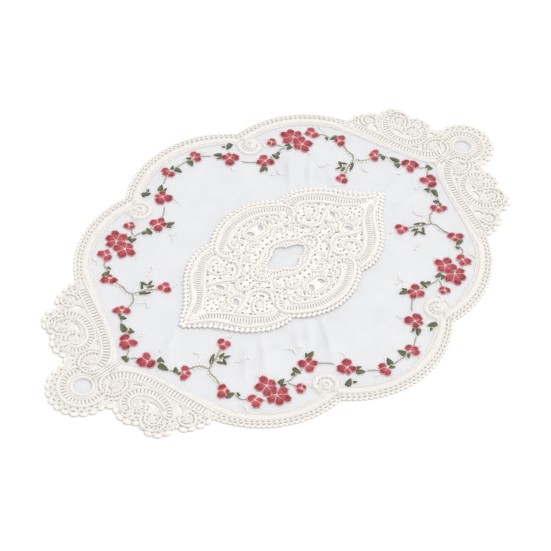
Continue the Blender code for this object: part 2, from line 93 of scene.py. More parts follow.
# A ladder is a row of slots between two rails, with a raised bar between slots.
# The rails run beside the ladder's middle line: how far off, and how wide.
Ladder = namedtuple("Ladder", "pitch long wide rails points")
CREST_LADDERS = (
    Ladder(2.7, 5.3, 0.62, ((3.6, 1.8), (-3.8, 2.4)),
           ((139.4, 81.4), (142.6, 72.0), (145.8, 61.5), (149.2, 50.5), (151.8, 41.0), (154.6, 32.5),
            (157.8, 25.0), (162.2, 17.4), (167.0, 11.6), (172.0, 8.0), (177.4, 6.4))),
    Ladder(2.7, 3.5, 0.62, ((2.7, 1.7), (-3.3, 2.6)),
           ((185.2, 38.4), (184.6, 33.6), (182.2, 29.8), (178.2, 27.4), (173.2, 27.2), (168.4, 29.0),
            (164.4, 32.4), (161.6, 36.8), (160.0, 41.4), (159.4, 46.0), (159.7, 50.6), (160.9, 54.8),
            (163.0, 58.2), (166.0, 60.9), (169.6, 61.8))),
)
RING_LADDER = Round(197.4, 0.0, 14.3, 0)
RING_LADDER_TURN = 112.0   # the ladder's ends, from the long axis
RING_CORDS = ((18.0, 2.4, 150.0), (10.6, 1.5, 180.0), (8.3, 2.0, 180.0))    # radius, width, end
LOBE_CORDS = ((4.05, 0.05, 1.4), (11.5, -0.1, 0.8))     # how far in, above the web, and width
SEAM_CORD = (12.9, -0.1, 1.3)
CREST_EDGE_CORD = (4.6, -0.1, 1.0)
SATIN_BAND = (8.7, -0.1, 4.4)
STRIP_OFF = 2.6            # from the crest's seam to the middle of its smooth strip
RIM_OFF = 0.4              # and to the cord along the seam
STRIP_END = ((161.0, 5.6), (166.0, 2.8))

# Cords of the crest: smooth paths with a width, through given points.
Cord = namedtuple("Cord", "width points")
CREST_CORDS = (
    Cord(1.8, ((172.0, 4.4), (177.6, 2.8), (183.6, 4.2), (187.8, 8.6), (188.6, 14.4), (185.8, 19.8),
               (179.6, 22.3), (173.2, 20.8), (169.4, 16.4))),
    Cord(1.5, ((163.2, 55.4), (165.8, 51.8), (166.2, 52.6), (168.0, 56.8), (171.6, 59.0), (176.2, 60.6),
               (180.2, 58.0), (181.4, 53.4), (178.6, 50.0), (173.6, 48.4))),
    Cord(1.8, ((172.4, 64.8), (178.4, 65.2), (183.6, 62.0), (185.6, 56.4), (184.2, 51.2), (180.6, 47.6))),
    Cord(1.8, ((150.4, 66.4), (150.4, 72.0), (153.8, 76.6), (159.0, 76.8), (162.4, 72.6), (161.6, 67.2),
               (157.8, 64.6))),
    Cord(1.7, ((171.6, 42.2), (174.6, 44.6), (179.2, 44.0), (182.6, 41.0))),
    Cord(1.6, ((163.6, 0.9), (172.0, 1.1), (181.0, 1.1), (188.4, 1.4))),
)
# Scrolls: from one radius to another, by degrees.
Curl = namedtuple("Curl", "x y radius end start stop width")
CREST_CURLS = (
    Curl(176.4, 37.0, 4.3, 1.0, 200.0, 640.0, 1.5),
    Curl(177.6, 14.4, 4.0, 0.9, 150.0, 600.0, 1.4),
    Curl(156.2, 70.6, 3.7, 0.9, 30.0, 470.0, 1.4),
    Curl(57.8, 110.3, 4.1, 1.2, 20.0, 400.0, 2.3),
)
Pad = namedtuple("Pad", "x y long wide turn")
CREST_PADS = (
    Pad(176.4, 37.0, 10.0, 9.2, 20),
    Pad(177.6, 14.4, 9.4, 8.6, 0),
    Pad(156.2, 70.6, 8.8, 8.0, 0),
    Pad(169.2, 54.8, 5.0, 3.2, 50),
    Pad(176.6, 54.2, 4.2, 3.4, 70),
    Pad(164.6, 69.6, 6.6, 3.2, 55),
    Pad(171.4, 69.0, 7.4, 3.0, -15),
    Pad(193.6, 24.6, 4.6, 3.6, 40),
    Pad(187.4, 44.6, 4.4, 3.4, -50),
)
Hole = namedtuple("Hole", "x y long wide turn")
CREST_HOLES = (
    Hole(154.8, 61.0, 7.6, 2.6, 66),
    Hole(167.4, 46.0, 9.0, 2.4, 102),
    Hole(187.2, 26.2, 3.8, 3.0, 50),
    Hole(196.6, 18.9, 3.0, 1.3, 5),
    Hole(149.0, 74.4, 6.4, 1.3, 116),
    Hole(160.6, 66.4, 4.6, 1.3, 50),
    Hole(161.2, 79.0, 2.4, 1.4, 70),
    Hole(174.0, 57.2, 3.0, 1.5, 65),
    Hole(172.6, 53.4, 1.9, 1.6, 0),
    Hole(182.8, 46.6, 2.6, 1.6, 40),
    Hole(177.6, 47.2, 2.4, 1.3, 10),
    Hole(171.6, 38.0, 1.1, 5.0, 20),
    Hole(165.4, 24.4, 1.3, 6.4, 42),
    Hole(182.9, 14.0, 1.1, 5.4, -8),
    Hole(190.8, 14.6, 1.2, 4.6, 12),
    Hole(189.8, 30.6, 2.2, 1.4, 60),
    Hole(191.0, 20.0, 2.4, 1.3, -20),
    Hole(166.2, 65.6, 2.0, 1.4, 30),
)
EYELET = Hole(197.0, 0.0, 13.0, 13.0, 0)
EYELET_CLOTH = (15.0, 0.2)      # the sheer round in it: how wide, and how high its underside is

# ------------------------------------------------------------------ the medallion
MEDALLION_LOBE = Round(0.0, 9.4, 53.1, 4.0)
MEDALLION_SIDE = ((36.0, 48.3), (42.0, 49.4), (52.0, 48.4), (62.0, 44.3), (72.0, 37.2), (80.0, 29.0),
                  (86.5, 20.5), (93.0, 13.6), (100.0, 8.0), (107.5, 1.6))
MEDALLION_CORDS = (
    Cord(2.9, ((0.0, 57.4), (10.0, 56.4), (20.0, 52.8), (28.0, 47.8), (34.5, 43.0), (38.3, 37.0),
               (37.0, 31.0), (32.0, 27.6))),
    Cord(2.6, ((0.0, 48.4), (10.0, 47.2), (18.0, 43.6), (24.6, 39.2), (26.2, 34.6), (24.0, 31.8),
               (21.0, 33.4), (21.8, 36.4))),
    Cord(2.9, ((37.6, 44.2), (42.0, 44.3), (50.0, 42.6), (60.0, 38.4), (70.0, 31.0), (77.0, 21.6),
               (84.0, 12.4), (93.0, 6.0), (101.0, 2.0))),
    Cord(2.5, ((41.6, 33.2), (46.0, 34.8), (52.0, 33.0), (60.0, 27.2), (67.0, 19.2), (74.0, 11.4),
               (84.0, 3.2))),
    Cord(3.1, ((37.6, 26.8), (33.6, 20.4), (36.0, 13.2), (41.4, 9.4), (47.0, 9.2), (52.0, 12.4),
               (59.0, 15.6), (66.5, 17.6))),
    Cord(2.4, ((51.2, 10.6), (53.0, 5.6), (57.4, 2.7), (62.4, 3.2), (64.6, 7.6), (63.8, 12.8))),
    Cord(2.0, ((48.0, 31.6), (52.6, 31.8), (55.2, 28.4), (54.4, 23.6), (51.0, 19.6), (46.4, 17.6),
               (42.6, 19.2), (43.4, 23.8), (47.6, 27.0))),
    Cord(1.9, ((66.0, 4.6), (69.4, 4.2), (72.0, 6.8), (70.4, 9.6), (67.0, 9.4), (65.6, 6.8))),
    Cord(2.1, ((26.4, 21.4), (30.6, 18.8), (34.6, 14.6), (36.6, 9.6), (37.0, 5.0))),
    Cord(2.6, ((0.0, 16.2), (6.0, 15.6), (12.0, 13.6), (16.6, 10.4), (20.6, 8.6), (25.4, 8.3), (29.8, 6.2),
               (32.4, 3.0), (32.9, 0.0))),
    Cord(2.0, ((21.6, 0.0), (22.6, 2.5), (25.2, 3.6), (27.8, 2.5), (28.8, 0.0))),
    Cord(2.2, ((6.0, 23.0), (9.0, 25.8), (12.6, 27.2), (16.4, 26.4), (18.6, 23.6), (17.0, 20.8),
               (13.8, 21.4))),
    Cord(2.0, ((22.0, 27.4), (25.6, 25.4), (28.4, 26.2), (30.6, 28.4))),
    Cord(1.9, ((0.0, 42.4), (4.0, 42.2), (7.4, 41.0), (10.4, 37.4), (10.2, 31.8), (6.4, 28.8), (0.0, 28.2))),
    Cord(1.8, ((11.6, 42.6), (15.0, 38.6), (17.4, 34.4), (15.2, 31.4))),
    Cord(1.7, ((20.2, 18.6), (23.4, 20.4), (26.0, 18.6), (25.0, 15.4), (22.0, 15.0))),
    Cord(1.7, ((36.8, 4.6), (40.6, 4.9), (44.6, 5.6), (48.4, 3.6), (50.0, 0.0))),
)
MEDALLION_LADDERS = (
    Ladder(2.2, 4.4, 0.38, (),
           ((0.0, 52.4), (6.5, 52.2), (13.0, 50.6), (18.5, 48.6), (23.0, 45.8), (28.0, 42.4),
            (32.0, 39.6), (34.4, 36.4), (33.6, 32.8), (31.0, 30.4))),
    Ladder(2.25, 4.7, 0.4, (),
           ((41.6, 38.6), (46.0, 39.4), (52.0, 37.8), (58.0, 34.2), (64.0, 29.2), (69.4, 23.6),
            (74.0, 17.0), (79.0, 10.6), (85.0, 6.1), (91.5, 3.2))),
)
CENTRE_OVALS = (Hole(0.0, 0.0, 38.5, 16.4, 0), Hole(0.0, 0.0, 19.0, 24.4, 0))
CENTRE_SCALLOP = 1.1       # depth of the scallops round the middle opening
EDGE_SLITS = Slits(3.35, MEDALLION_LOBE.picot, 2.2, 0.8)
CENTRE_SLITS = Slits(2.6, 2.6, 1.3, 0.9)
PATCH_CORD_SLITS = Slits(0.7, 2.5, 1.15, 0.65)
HOLE_SHARE = 0.85          # of the sizes below, because the cords beside them take up the rest
MEDALLION_HOLES = (
    Hole(5.2, 35.4, 7.6, 4.8, 65), Hole(59.4, 9.4, 8.6, 4.8, 68),
    Hole(41.0, 37.6, 1.6, 4.0, 20), Hole(28.6, 30.4, 3.0, 2.6, 0), Hole(17.2, 41.0, 3.2, 1.8, -30),
    Hole(13.2, 36.0, 5.4, 1.5, 66), Hole(18.0, 31.0, 1.9, 2.8, -15), Hole(3.2, 45.3, 4.8, 1.1, 0),
    Hole(9.8, 44.2, 4.6, 1.2, -18), Hole(40.2, 17.2, 5.0, 2.0, -58), Hole(44.8, 13.5, 3.8, 1.8, -8),
    Hole(50.4, 22.0, 3.2, 2.3, 30), Hole(45.8, 29.2, 3.0, 1.3, 42), Hole(50.0, 28.8, 3.6, 1.4, -6),
    Hole(52.2, 25.6, 1.4, 3.2, 10), Hole(36.8, 22.8, 4.0, 1.5, -26), Hole(40.6, 23.4, 2.8, 1.6, -12),
    Hole(39.4, 28.0, 2.6, 1.6, 40), Hole(53.4, 16.4, 2.0, 3.4, -22), Hole(57.2, 19.0, 3.6, 1.3, 10),
    Hole(58.6, 25.0, 3.2, 2.2, -52), Hole(62.6, 20.6, 3.0, 2.1, -52), Hole(68.4, 13.0, 2.6, 1.8, -50),
    Hole(68.6, 1.6, 2.6, 1.3, 0), Hole(75.2, 5.4, 1.6, 3.0, 0), Hole(78.0, 2.2, 2.4, 1.5, 0),
    Hole(82.2, 1.4, 2.2, 1.1, 0),
    Hole(62.2, 1.2, 2.4, 1.3, 0), Hole(56.4, 0.9, 1.6, 1.2, 0), Hole(73.0, 1.4, 1.6, 1.6, 0),
    Hole(49.0, 6.4, 5.0, 1.8, 26), Hole(37.4, 9.6, 2.6, 2.4, -20), Hole(41.0, 7.2, 4.2, 1.6, -4),
    Hole(31.0, 14.2, 4.2, 1.9, -42), Hole(38.6, 1.8, 2.6, 1.8, 0), Hole(44.6, 2.0, 2.8, 1.7, 0),
    Hole(28.8, 22.4, 3.8, 1.5, 6), Hole(22.4, 23.6, 3.0, 1.6, -30), Hole(2.6, 19.4, 3.2, 2.0, -8),
    Hole(7.6, 18.2, 2.6, 2.0, -10), Hole(11.8, 16.8, 2.0, 2.2, -30), Hole(16.6, 16.8, 2.8, 1.7, 30),
    Hole(19.6, 12.6, 2.6, 2.0, -30), Hole(27.4, 11.2, 2.4, 1.8, 0), Hole(33.6, 6.8, 2.2, 1.8, -60),
    Hole(35.4, 1.8, 1.8, 2.0, 0), Hole(2.4, 24.4, 2.2, 2.6, 0), Hole(22.0, 41.4, 2.4, 1.3, -40),
    Hole(23.4, 11.6, 2.0, 1.6, 0), Hole(33.2, 24.4, 1.8, 1.6, 0), Hole(12.6, 23.6, 2.0, 1.6, 20),
    Hole(20.2, 5.4, 1.6, 1.4, 0), Hole(23.0, 5.9, 1.7, 1.3, 10), Hole(26.2, 6.0, 1.8, 1.3, -10),
    Hole(29.0, 4.4, 1.8, 1.3, -45), Hole(30.5, 1.6, 1.3, 1.8, 0), Hole(19.2, 2.6, 1.2, 1.4, 0),
)
MEDALLION_PADS = (
    Pad(47.2, 22.8, 6.6, 6.2, 20), Pad(20.8, 37.4, 5.4, 3.0, -40), Pad(69.0, 7.0, 4.2, 4.0, 0),
    Pad(53.4, 8.2, 3.0, 2.4, 60), Pad(8.6, 21.4, 4.6, 2.4, 5), Pad(30.8, 17.6, 4.8, 2.4, -40),
    Pad(45.2, 4.0, 4.0, 2.2, 5), Pad(61.0, 22.6, 4.6, 2.0, -50), Pad(15.0, 13.6, 3.4, 3.0, 0),
    Pad(23.4, 12.6, 3.2, 2.6, 20), Pad(4.6, 16.6, 3.2, 2.4, 0), Pad(28.0, 7.4, 3.0, 2.4, 0),
    Pad(54.8, 28.0, 4.4, 2.4, -50), Pad(72.6, 10.0, 4.2, 2.0, -50), Pad(14.4, 46.0, 4.4, 2.0, -20),
    Pad(34.8, 27.8, 3.0, 2.4, 0), Pad(42.6, 31.0, 3.4, 2.2, 30), Pad(97.4, 1.2, 4.0, 1.8, 0),
    Pad(34.0, 10.4, 2.6, 2.2, 0), Pad(24.8, 28.6, 2.8, 2.4, 0),
)

# ------------------------------------------------------------------ the embroidery
# Blooms: a middle, and petals as ovals with their middle, width along x and along y.
Petal = namedtuple("Petal", "x y wide high")
BLOOMS = (
    ((11.8, 127.8), (Petal(13.8, 124.6, 6.2, 5.2), Petal(16.4, 128.4, 5.6, 4.8),
                   Petal(14.8, 131.6, 5.8, 4.8))),
    ((35.0, 109.2), (Petal(39.2, 107.8, 6.4, 8.4), Petal(32.2, 105.6, 7.4, 7.0),
                   Petal(32.8, 112.8, 5.8, 4.8), Petal(37.8, 113.2, 3.2, 3.0))),
    ((55.8, 88.8), (Petal(58.8, 85.6, 6.4, 6.8), Petal(57.6, 92.6, 7.0, 5.8),
                   Petal(52.4, 86.0, 4.8, 4.4), Petal(51.6, 90.8, 5.4, 5.4))),
    ((74.4, 101.8), (Petal(74.0, 99.6, 6.2, 3.8), Petal(76.4, 102.8, 4.2, 6.0),
                   Petal(72.2, 102.0, 3.4, 4.6))),
    ((92.8, 95.2), (Petal(88.6, 101.8, 6.0, 7.6), Petal(94.6, 100.8, 6.6, 7.0),
                   Petal(98.2, 95.8, 6.0, 6.0), Petal(86.4, 95.4, 8.0, 6.8), Petal(91.8, 91.4, 4.0, 3.4))),
    ((92.4, 84.4), (Petal(91.0, 79.0, 6.4, 6.8), Petal(97.2, 82.0, 7.4, 7.4),
                   Petal(88.2, 84.8, 5.8, 7.0), Petal(96.4, 89.2, 6.6, 6.8), Petal(90.8, 89.6, 5.8, 5.4))),
    ((107.6, 88.8), (Petal(108.4, 85.8, 7.2, 5.2), Petal(109.4, 92.0, 6.8, 6.2),
                   Petal(105.0, 90.8, 3.6, 4.8))),
    ((119.8, 68.0), (Petal(119.0, 64.8, 6.6, 5.0), Petal(123.2, 69.6, 7.4, 6.2),
                   Petal(118.6, 70.0, 3.8, 4.0))),
    ((132.0, 37.2), (Petal(129.2, 35.0, 5.4, 6.2), Petal(130.4, 39.4, 4.2, 4.0),
                   Petal(134.4, 40.2, 7.2, 5.0))),
    ((92.8, 35.0), (Petal(92.4, 32.2, 5.6, 5.6), Petal(90.2, 36.6, 4.8, 5.4), Petal(95.0, 36.8, 4.8, 5.0))),
    ((146.6, 12.2), (Petal(146.2, 15.8, 8.2, 5.6), Petal(150.4, 10.2, 6.6, 8.8),
                   Petal(144.2, 8.0, 5.6, 6.8))),
)
Leaf = namedtuple("Leaf", "x y long wide turn")
LEAVES = (
    Leaf(6.4, 124.2, 6.8, 4.8, 72), Leaf(8.4, 130.0, 4.8, 2.6, -40), Leaf(29.8, 118.4, 7.8, 4.2, -38),
    Leaf(28.2, 114.6, 4.8, 2.2, -20), Leaf(43.2, 120.0, 8.8, 4.6, 25), Leaf(39.4, 122.6, 3.2, 1.9, -27),
    Leaf(47.4, 83.0, 6.4, 4.0, 15), Leaf(50.8, 81.4, 4.4, 2.6, 60), Leaf(66.2, 87.8, 8.2, 3.6, -82),
    Leaf(69.8, 88.2, 3.8, 3.2, 40), Leaf(81.4, 88.2, 6.6, 4.0, 10), Leaf(82.6, 91.6, 5.8, 2.3, -18),
    Leaf(118.8, 73.8, 8.4, 4.2, -12), Leaf(113.7, 76.8, 4.2, 1.9, 80), Leaf(107.8, 40.2, 11.0, 3.0, 33),
    Leaf(100.2, 42.2, 6.6, 2.5, 10), Leaf(98.2, 45.6, 6.4, 2.0, -18), Leaf(102.6, 48.0, 7.0, 2.3, 66),
    Leaf(105.4, 46.8, 6.4, 2.0, -54), Leaf(135.2, 31.0, 5.2, 3.7, 50), Leaf(134.9, 35.2, 3.4, 2.6, 10),
    Leaf(141.2, 24.2, 9.8, 4.8, -74), Leaf(138.8, 16.8, 5.4, 3.0, 28), Leaf(137.9, 18.8, 4.6, 1.7, -80),
    Leaf(157.2, 1.4, 4.8, 3.0, 15),
)
STEMS = (
    ((17.6, 126.4), (20.0, 124.4), (22.4, 122.6), (25.6, 120.6)),
    ((40.4, 100.8), (42.6, 98.0), (45.2, 95.6), (49.2, 92.4)),
    ((61.4, 88.4), (64.0, 89.6), (72.0, 90.4), (75.4, 91.2), (79.4, 90.2)),
    ((75.4, 98.0), (77.4, 95.0), (78.6, 92.0)),
    ((102.0, 93.6), (103.8, 92.4), (105.4, 92.0)),
    ((111.4, 84.4), (114.4, 82.4), (115.6, 79.8), (115.8, 76.0)),
    ((119.4, 62.8), (118.0, 58.4), (117.4, 53.6), (117.6, 49.8), (115.6, 45.8)),
    ((126.8, 36.8), (122.0, 38.2), (118.4, 40.8), (115.6, 45.8)),
    ((115.6, 45.8), (110.6, 43.6), (105.2, 41.6), (100.6, 38.8), (97.0, 37.4)),
    ((104.2, 42.6), (101.6, 44.6), (100.6, 46.2)),
    ((142.6, 18.6), (139.8, 20.4), (139.0, 22.6)),
    ((139.4, 28.6), (138.0, 30.4), (137.2, 33.0), (136.6, 36.4)),
    ((150.6, 6.0), (151.6, 4.0), (155.0, 2.2)),
    ((0.0, 128.6), (4.0, 128.5), (9.6, 128.4)),
)
# White sprigs and curls, worked in the lace's own thread.
CURLS = (
    ((60.2, 66.6), (57.0, 68.8), (55.2, 72.2), (56.2, 75.4)),
    ((54.4, 74.0), (51.6, 73.0), (49.0, 74.4)),
    ((30.6, 95.0), (28.6, 97.6), (29.4, 101.4)),
    ((24.6, 126.6), (22.4, 128.6), (20.4, 128.2)),
    ((94.6, 72.6), (91.8, 73.4), (90.2, 72.0)),
    ((118.6, 84.6), (117.0, 89.0), (118.4, 93.2)),
    ((119.2, 36.8), (114.4, 33.8), (113.0, 29.6), (115.8, 27.4)),
    ((96.6, 52.6), (92.6, 55.4), (88.4, 55.6), (86.4, 58.4)),
    ((86.6, 30.2), (84.0, 32.8), (81.4, 32.4)),
    ((138.4, 10.8), (134.6, 9.0), (131.8, 11.4)),
    ((66.4, 100.4), (67.6, 105.0), (65.6, 109.0)),
)
BEADED_STEMS = (6, 7, 8)    # the stems with white beads along both sides, by their place in the table

# ------------------------------------------------------------------ folds in the organza
# The cloth is drawn a little unevenly, so these are not mirrored.
Fold = namedtuple("Fold", "x y far_x far_y width height")
FOLDS = (
    Fold(-12.0, -64.0, -42.0, -100.0, 15.0, 1.6),
    Fold(-62.0, -56.0, -96.0, -76.0, 15.0, 1.3),
    Fold(-40.0, -64.0, -52.0, -76.0, 10.0, 0.8),
    Fold(-112.0, -12.0, -146.0, -20.0, 13.0, 1.0),
    Fold(56.0, 58.0, 80.0, 82.0, 15.0, 1.6),
    Fold(80.0, 52.0, 98.0, 68.0, 12.0, 1.1),
    Fold(88.0, -24.0, 138.0, -14.0, 13.0, 1.4),
    Fold(12.0, 72.0, 34.0, 98.0, 16.0, 0.9),
    Fold(-60.0, 60.0, -76.0, 76.0, 13.0, 0.8),
)
CREASES = (
    Fold(-16.0, -58.0, -36.0, -93.0, 4.0, 2.2),
    Fold(-28.0, -57.0, -44.0, -78.0, 4.6, 1.4),
    Fold(-39.0, -55.0, -55.0, -78.0, 4.0, 1.2),
    Fold(-63.0, -44.0, -86.0, -76.0, 4.0, 2.0),
    Fold(-80.0, -47.0, -104.0, -72.0, 4.8, 1.4),
    Fold(-112.0, -4.0, -131.0, -13.0, 4.2, 1.3),
    Fold(51.0, 52.0, 76.0, 83.0, 4.0, 2.1),
    Fold(64.0, 43.0, 86.0, 68.0, 4.4, 1.5),
    Fold(80.0, 29.0, 97.0, 60.0, 4.8, 1.2),
    Fold(99.0, -16.0, 138.0, -15.0, 4.2, 1.7),
    Fold(104.0, 0.0, 134.0, 9.0, 4.4, 1.3),
)
FLAT_MIDDLE = (119.0, 74.0)     # half the size of the middle oval that the folds leave flat
FLAT_FADE = 0.12           # they come up to their full height within this share of it
RIPPLE = 0.22              # small unevenness of the cloth between the folds
RIPPLE_SPAN = 17.0         # and its size in the plan
CLOTH_CELL = 1.85          # the cloth's mesh: its cells, and its size before it is trimmed
CLOTH_SIZE = (342.0, 288.0)
SEAM_TURN_IN = 1.2         # how far the cloth runs on under the border
SEAM_LINE = 0.5            # from the border's inner edge to the seam's stitches, on top of it
# How far in from the picots' rounds the flat lace ends, and how far the row of beads runs.
BORDER_TRIM, PICOT_IN = 1.1, 1.25
PATCH_TRIM, PEARL_IN = 1.2, 1.3

# ------------------------------------------------------------------ stitches
Stitch = namedtuple("Stitch", "x y z turn long wide high tone")
STITCH_PITCH = 0.6         # from stitch to stitch in a petal
STITCH_WIDE = 0.78
STITCH_LEVEL = 0.15        # height above the cloth of the petals' lowest stitches
PETAL_RISE = 0.7           # how much a petal's middle stands out
PETAL_SPREAD = -0.05       # added to a petal's half width
PETAL_START = 0.7          # from the bloom's middle to the first stitch
FAN_WIDEST = math.radians(66)       # half of the widest fan that a petal's stitches make
HEART_LEVEL = 0.72         # height above the cloth of the stitches in a bloom's middle
HEART_KNOTS = 4            # and how many knots are there
HEART_WIDEST = math.radians(200)    # no pale stitches in a gap between petals wider than this
LEAF_PITCH = 0.62          # from stitch to stitch on one side of a leaf
LEAF_SLANT = math.radians(38)
RIB_FROM = 2.4             # leaves wider than this have a pale midrib

# Knots in a row: how far apart, their size, on the steps (0) or between them (1), and how
# uneven they are.
Bead = namedtuple("Bead", "pitch along across height between uneven sides rings", defaults=(1, 0.06, 10, 6))
SMALL_PICOT = Bead(PICOT, 4.2, 2.5, 1.3)
LARGE_PICOT = Bead(CREST_PICOT, 6.6, 4.0, 1.3)
PEARL = Bead(MEDALLION_LOBE.picot, 3.4, 3.2, 1.9, sides=12, rings=8)
CENTRE_KNOT = Bead(3.1, 3.0, 2.6, 1.6, rings=7)
SEAM_STITCH = Bead(1.5, 1.35, 0.5, 0.4, uneven=0.1, sides=6, rings=4)
BUD = Bead(2.7, 2.2, 1.6, 0.9, uneven=0.4, sides=8, rings=5)
RING_BAR = Bead(RING_SLITS.pitch, 1.8, 4.6, 0.6, between=0, sides=8)
LOBE_BARS = tuple(RING_BAR._replace(pitch=PICOT, along=1.6, across=across) for across in (1.9, 2.0))
BAR_PAST = 1.0             # how much longer a ladder's bars are than its slots
# Raised cords: their height for a width of 1, the steps of their path, and their sides.
Yarn = namedtuple("Yarn", "flatness step sides", defaults=(0.9, 8))
SATIN_YARN = Yarn(0.24, sides=14)
BORDER_YARN = Yarn(0.6)
PATCH_YARN = Yarn(0.52)
PETAL_YARN = Yarn(0.9, 1.1, 5)
FINE_YARN = Yarn(0.7, 0.8, 6)
# How high the middles of raised stitches are above the lace's top.
CORD_RISE = 0.2
CURL_RISE = 0.25
BAR_RISE = -0.05
FLAT_RISE = -0.1           # satin, and whatever else lies low
DOME_RISE = -0.15
SEAM_RISE = 0.05
# And how high the beads' middles are above the middle of the lace that carries them.
PICOT_RISE = 0.1
PEARL_RISE = 0.2
CENTRE_KNOT_RISE = 0.3
CENTRE_KNOT_OFF = 0.8      # from the middle opening's rim to the row of knots round it
# Threads on the cloth: the height of their middles above it, and their width.
PETAL_THREAD = (0.34, 0.6)
STEM_THREAD = (0.15, 1.0)
LEAF_THREAD = (0.15, 0.7)
CURL_THREAD = (0.2, 0.9)
STEM_BUDS = (0.25, 0.7)
CURL_BUDS = (0.3, 0.9)
STEM_BUD_ROWS = ((1.3, 0), (-1.5, 3))    # how far beside the stem, and how many of its steps they skip
THREAD_STEP = 0.9
MEDALLION_TIP = 106.0      # the flat lace's point, and below it the row of pearls'
PEARL_TIP = 106.4

# ------------------------------------------------------------------ figures for floor, light and camera
PX = 551                    # the picture is this many pixels wide and high
FOCAL_PX = 1659.0           # the lens, in the same pixels
CAMERA_AWAY = 1297.0
CAMERA_TILT = math.radians(40.17)      # from straight down
CAMERA_ROLL = math.radians(4.87)
CAMERA_TURN = math.radians(44.89)      # the doily's long way against the picture's, about the vertical
CAMERA_OFF = (6.6, 13.7)    # where the doily's middle is, right of and above the camera's axis
SENSOR = 36.0
KEY_BACK = 0.9              # how far the key light stands behind and above, for one to the right
KEY_UP = 2.1
KEY_STRENGTH = 1.2
KEY_SPREAD = math.radians(38)
SKY_STRENGTH = 0.83
FLOOR_SIZE = 12.0           # metres

# The signs of x and y for a quarter's copies: in all quarters, and for what crosses an axis.
FOUR = ((1, 1), (1, -1), (-1, 1), (-1, -1))
LONG_SIDES = ((1, 1), (1, -1))
ENDS = ((1, 1), (-1, 1))

# ------------------------------------------------------------------ finishes
# Lace: its light and dark colour, its stitches' length, the levels between which it
# turns from the painted shade of its recesses to its full colour, if it is a net and not
# worked along a cord, its relief and its roughness.
Lace = namedtuple("Lace", "light dark stitch low high net depth roughness")
BRIGHT, SOFT = (243, 240, 236), (233, 228, 222)
NET, NET_SHADE = (237, 234, 229), (225, 220, 213)
LOW, TOP = BORDER_WEB
PATCH_LOW, PATCH_TOP = MEDALLION_WEB
LACES = {
    "lace_net": Lace(NET, NET_SHADE, 0.75, LOW, TOP, True, 0.16, 0.7),
    "lace_cord": Lace(BRIGHT, SOFT, 0.55, TOP - 0.9, TOP + 0.15, False, 0.12, 0.7),
    "lace_knots": Lace(BRIGHT, SOFT, 0.6, LOW, TOP, True, 0.1, 0.7),
    "lace_satin": Lace(BRIGHT, SOFT, 0.5, TOP - 0.9, TOP + 0.1, False, 0.12, 0.55),
    "lace_padded": Lace(NET, NET_SHADE, 0.7, LOW, TOP + 0.1, True, 0.3, 0.7),
    "patch_net": Lace((247, 244, 240), (238, 233, 227), 0.75, PATCH_LOW, PATCH_TOP, True, 0.16, 0.7),
    "patch_cord": Lace((246, 243, 239), (236, 232, 226), 0.55, PATCH_TOP - 0.9, PATCH_TOP + 0.35, False,
                       0.12, 0.7),
    "patch_padded": Lace((242, 239, 235), (230, 225, 219), 0.7, PATCH_LOW, PATCH_TOP + 0.1, True, 0.3, 0.7),
    "sprig_thread": Lace((253, 251, 246), (244, 240, 230), 0.6, 0.5, 1.2, True, 0.12, 0.7),
}
# Painted shade: a warmer, darker colour for thread low down in the lace's recesses, standing in for their
# shadow.
RECESS_PAINTED_SHADE = (238, 226, 214)   # thread deep down between its neighbours
LACE_GLOW = 0.35           # how much light goes through the thread
LACE_GLOW_REACH = 1.0      # and how far
Silk = namedtuple("Silk", "deep light roughness")
SILKS = {
    "petal_silk": Silk((150, 30, 48), (226, 104, 120), 0.38),
    "heart_silk": Silk((238, 158, 158), (252, 226, 214), 0.38),
    "leaf_silk": Silk((56, 62, 32), (128, 132, 84), 0.38),
    "stem_silk": Silk((168, 158, 142), (224, 214, 196), 0.6),
    "seam_thread": Silk((220, 212, 203), (237, 232, 225), 0.6),
}
ORGANZA_THREAD = 0.42      # from thread to thread
ORGANZA_BODY = 0.2         # how much the cloth hides between its threads


# ------------------------------------------------------------------ plan geometry
def arc(shape, start, stop, step, end=None):
    """Points of a round from start to stop degrees; it winds to the radius end."""
    end = shape.radius if end is None else end
    sweep = math.radians(stop - start)
    count = max(2, round(abs(sweep) * max(shape.radius, end) / step))
    points = []
    for i in range(count + 1):
        reach = shape.radius + (end - shape.radius) * i / count
        a = math.radians(start) + sweep * i / count
        points.append((shape.x + reach * math.cos(a), shape.y + reach * math.sin(a)))
    return points


def smooth(points, step=1.0):
    """A soft curve (Catmull-Rom) through given points, every step or so."""
    first = [2 * a - b for a, b in zip(points[0], points[1])]
    last = [2 * a - b for a, b in zip(points[-1], points[-2])]
    knots = [first, *points, last]
    curve = []
    for i in range(1, len(knots) - 2):
        a, b, c, d = knots[i - 1:i + 3]
        count = max(1, round(math.dist(b, c) / step))
        for k in range(count):
            t = k / count
            curve.append(tuple(0.5 * (2 * b[j] + (c[j] - a[j]) * t
                                      + (2 * a[j] - 5 * b[j] + 4 * c[j] - d[j]) * t * t
                                      + (3 * b[j] - a[j] - 3 * c[j] + d[j]) * t ** 3) for j in (0, 1)))
    return curve + [tuple(points[-1])]


def crossing(a, b, side=1):
    """Where two rounds cross, on the left (1) or right (-1) of the way from a to b."""
    dx, dy = b.x - a.x, b.y - a.y
    apart = math.hypot(dx, dy)
    along = (a.radius ** 2 - b.radius ** 2 + apart ** 2) / (2 * apart)
    off = side * math.sqrt(a.radius ** 2 - along ** 2)
    return a.x + (dx * along - dy * off) / apart, a.y + (dy * along + dx * off) / apart


def bearing(centre, point):
    return math.degrees(math.atan2(point[1] - centre.y, point[0] - centre.x))


def inset(shape, by):
    return shape._replace(radius=shape.radius - by)


def mirrored(points, signs=FOUR):
    return [[(x * sx, y * sy) for x, y in points] for sx, sy in signs]


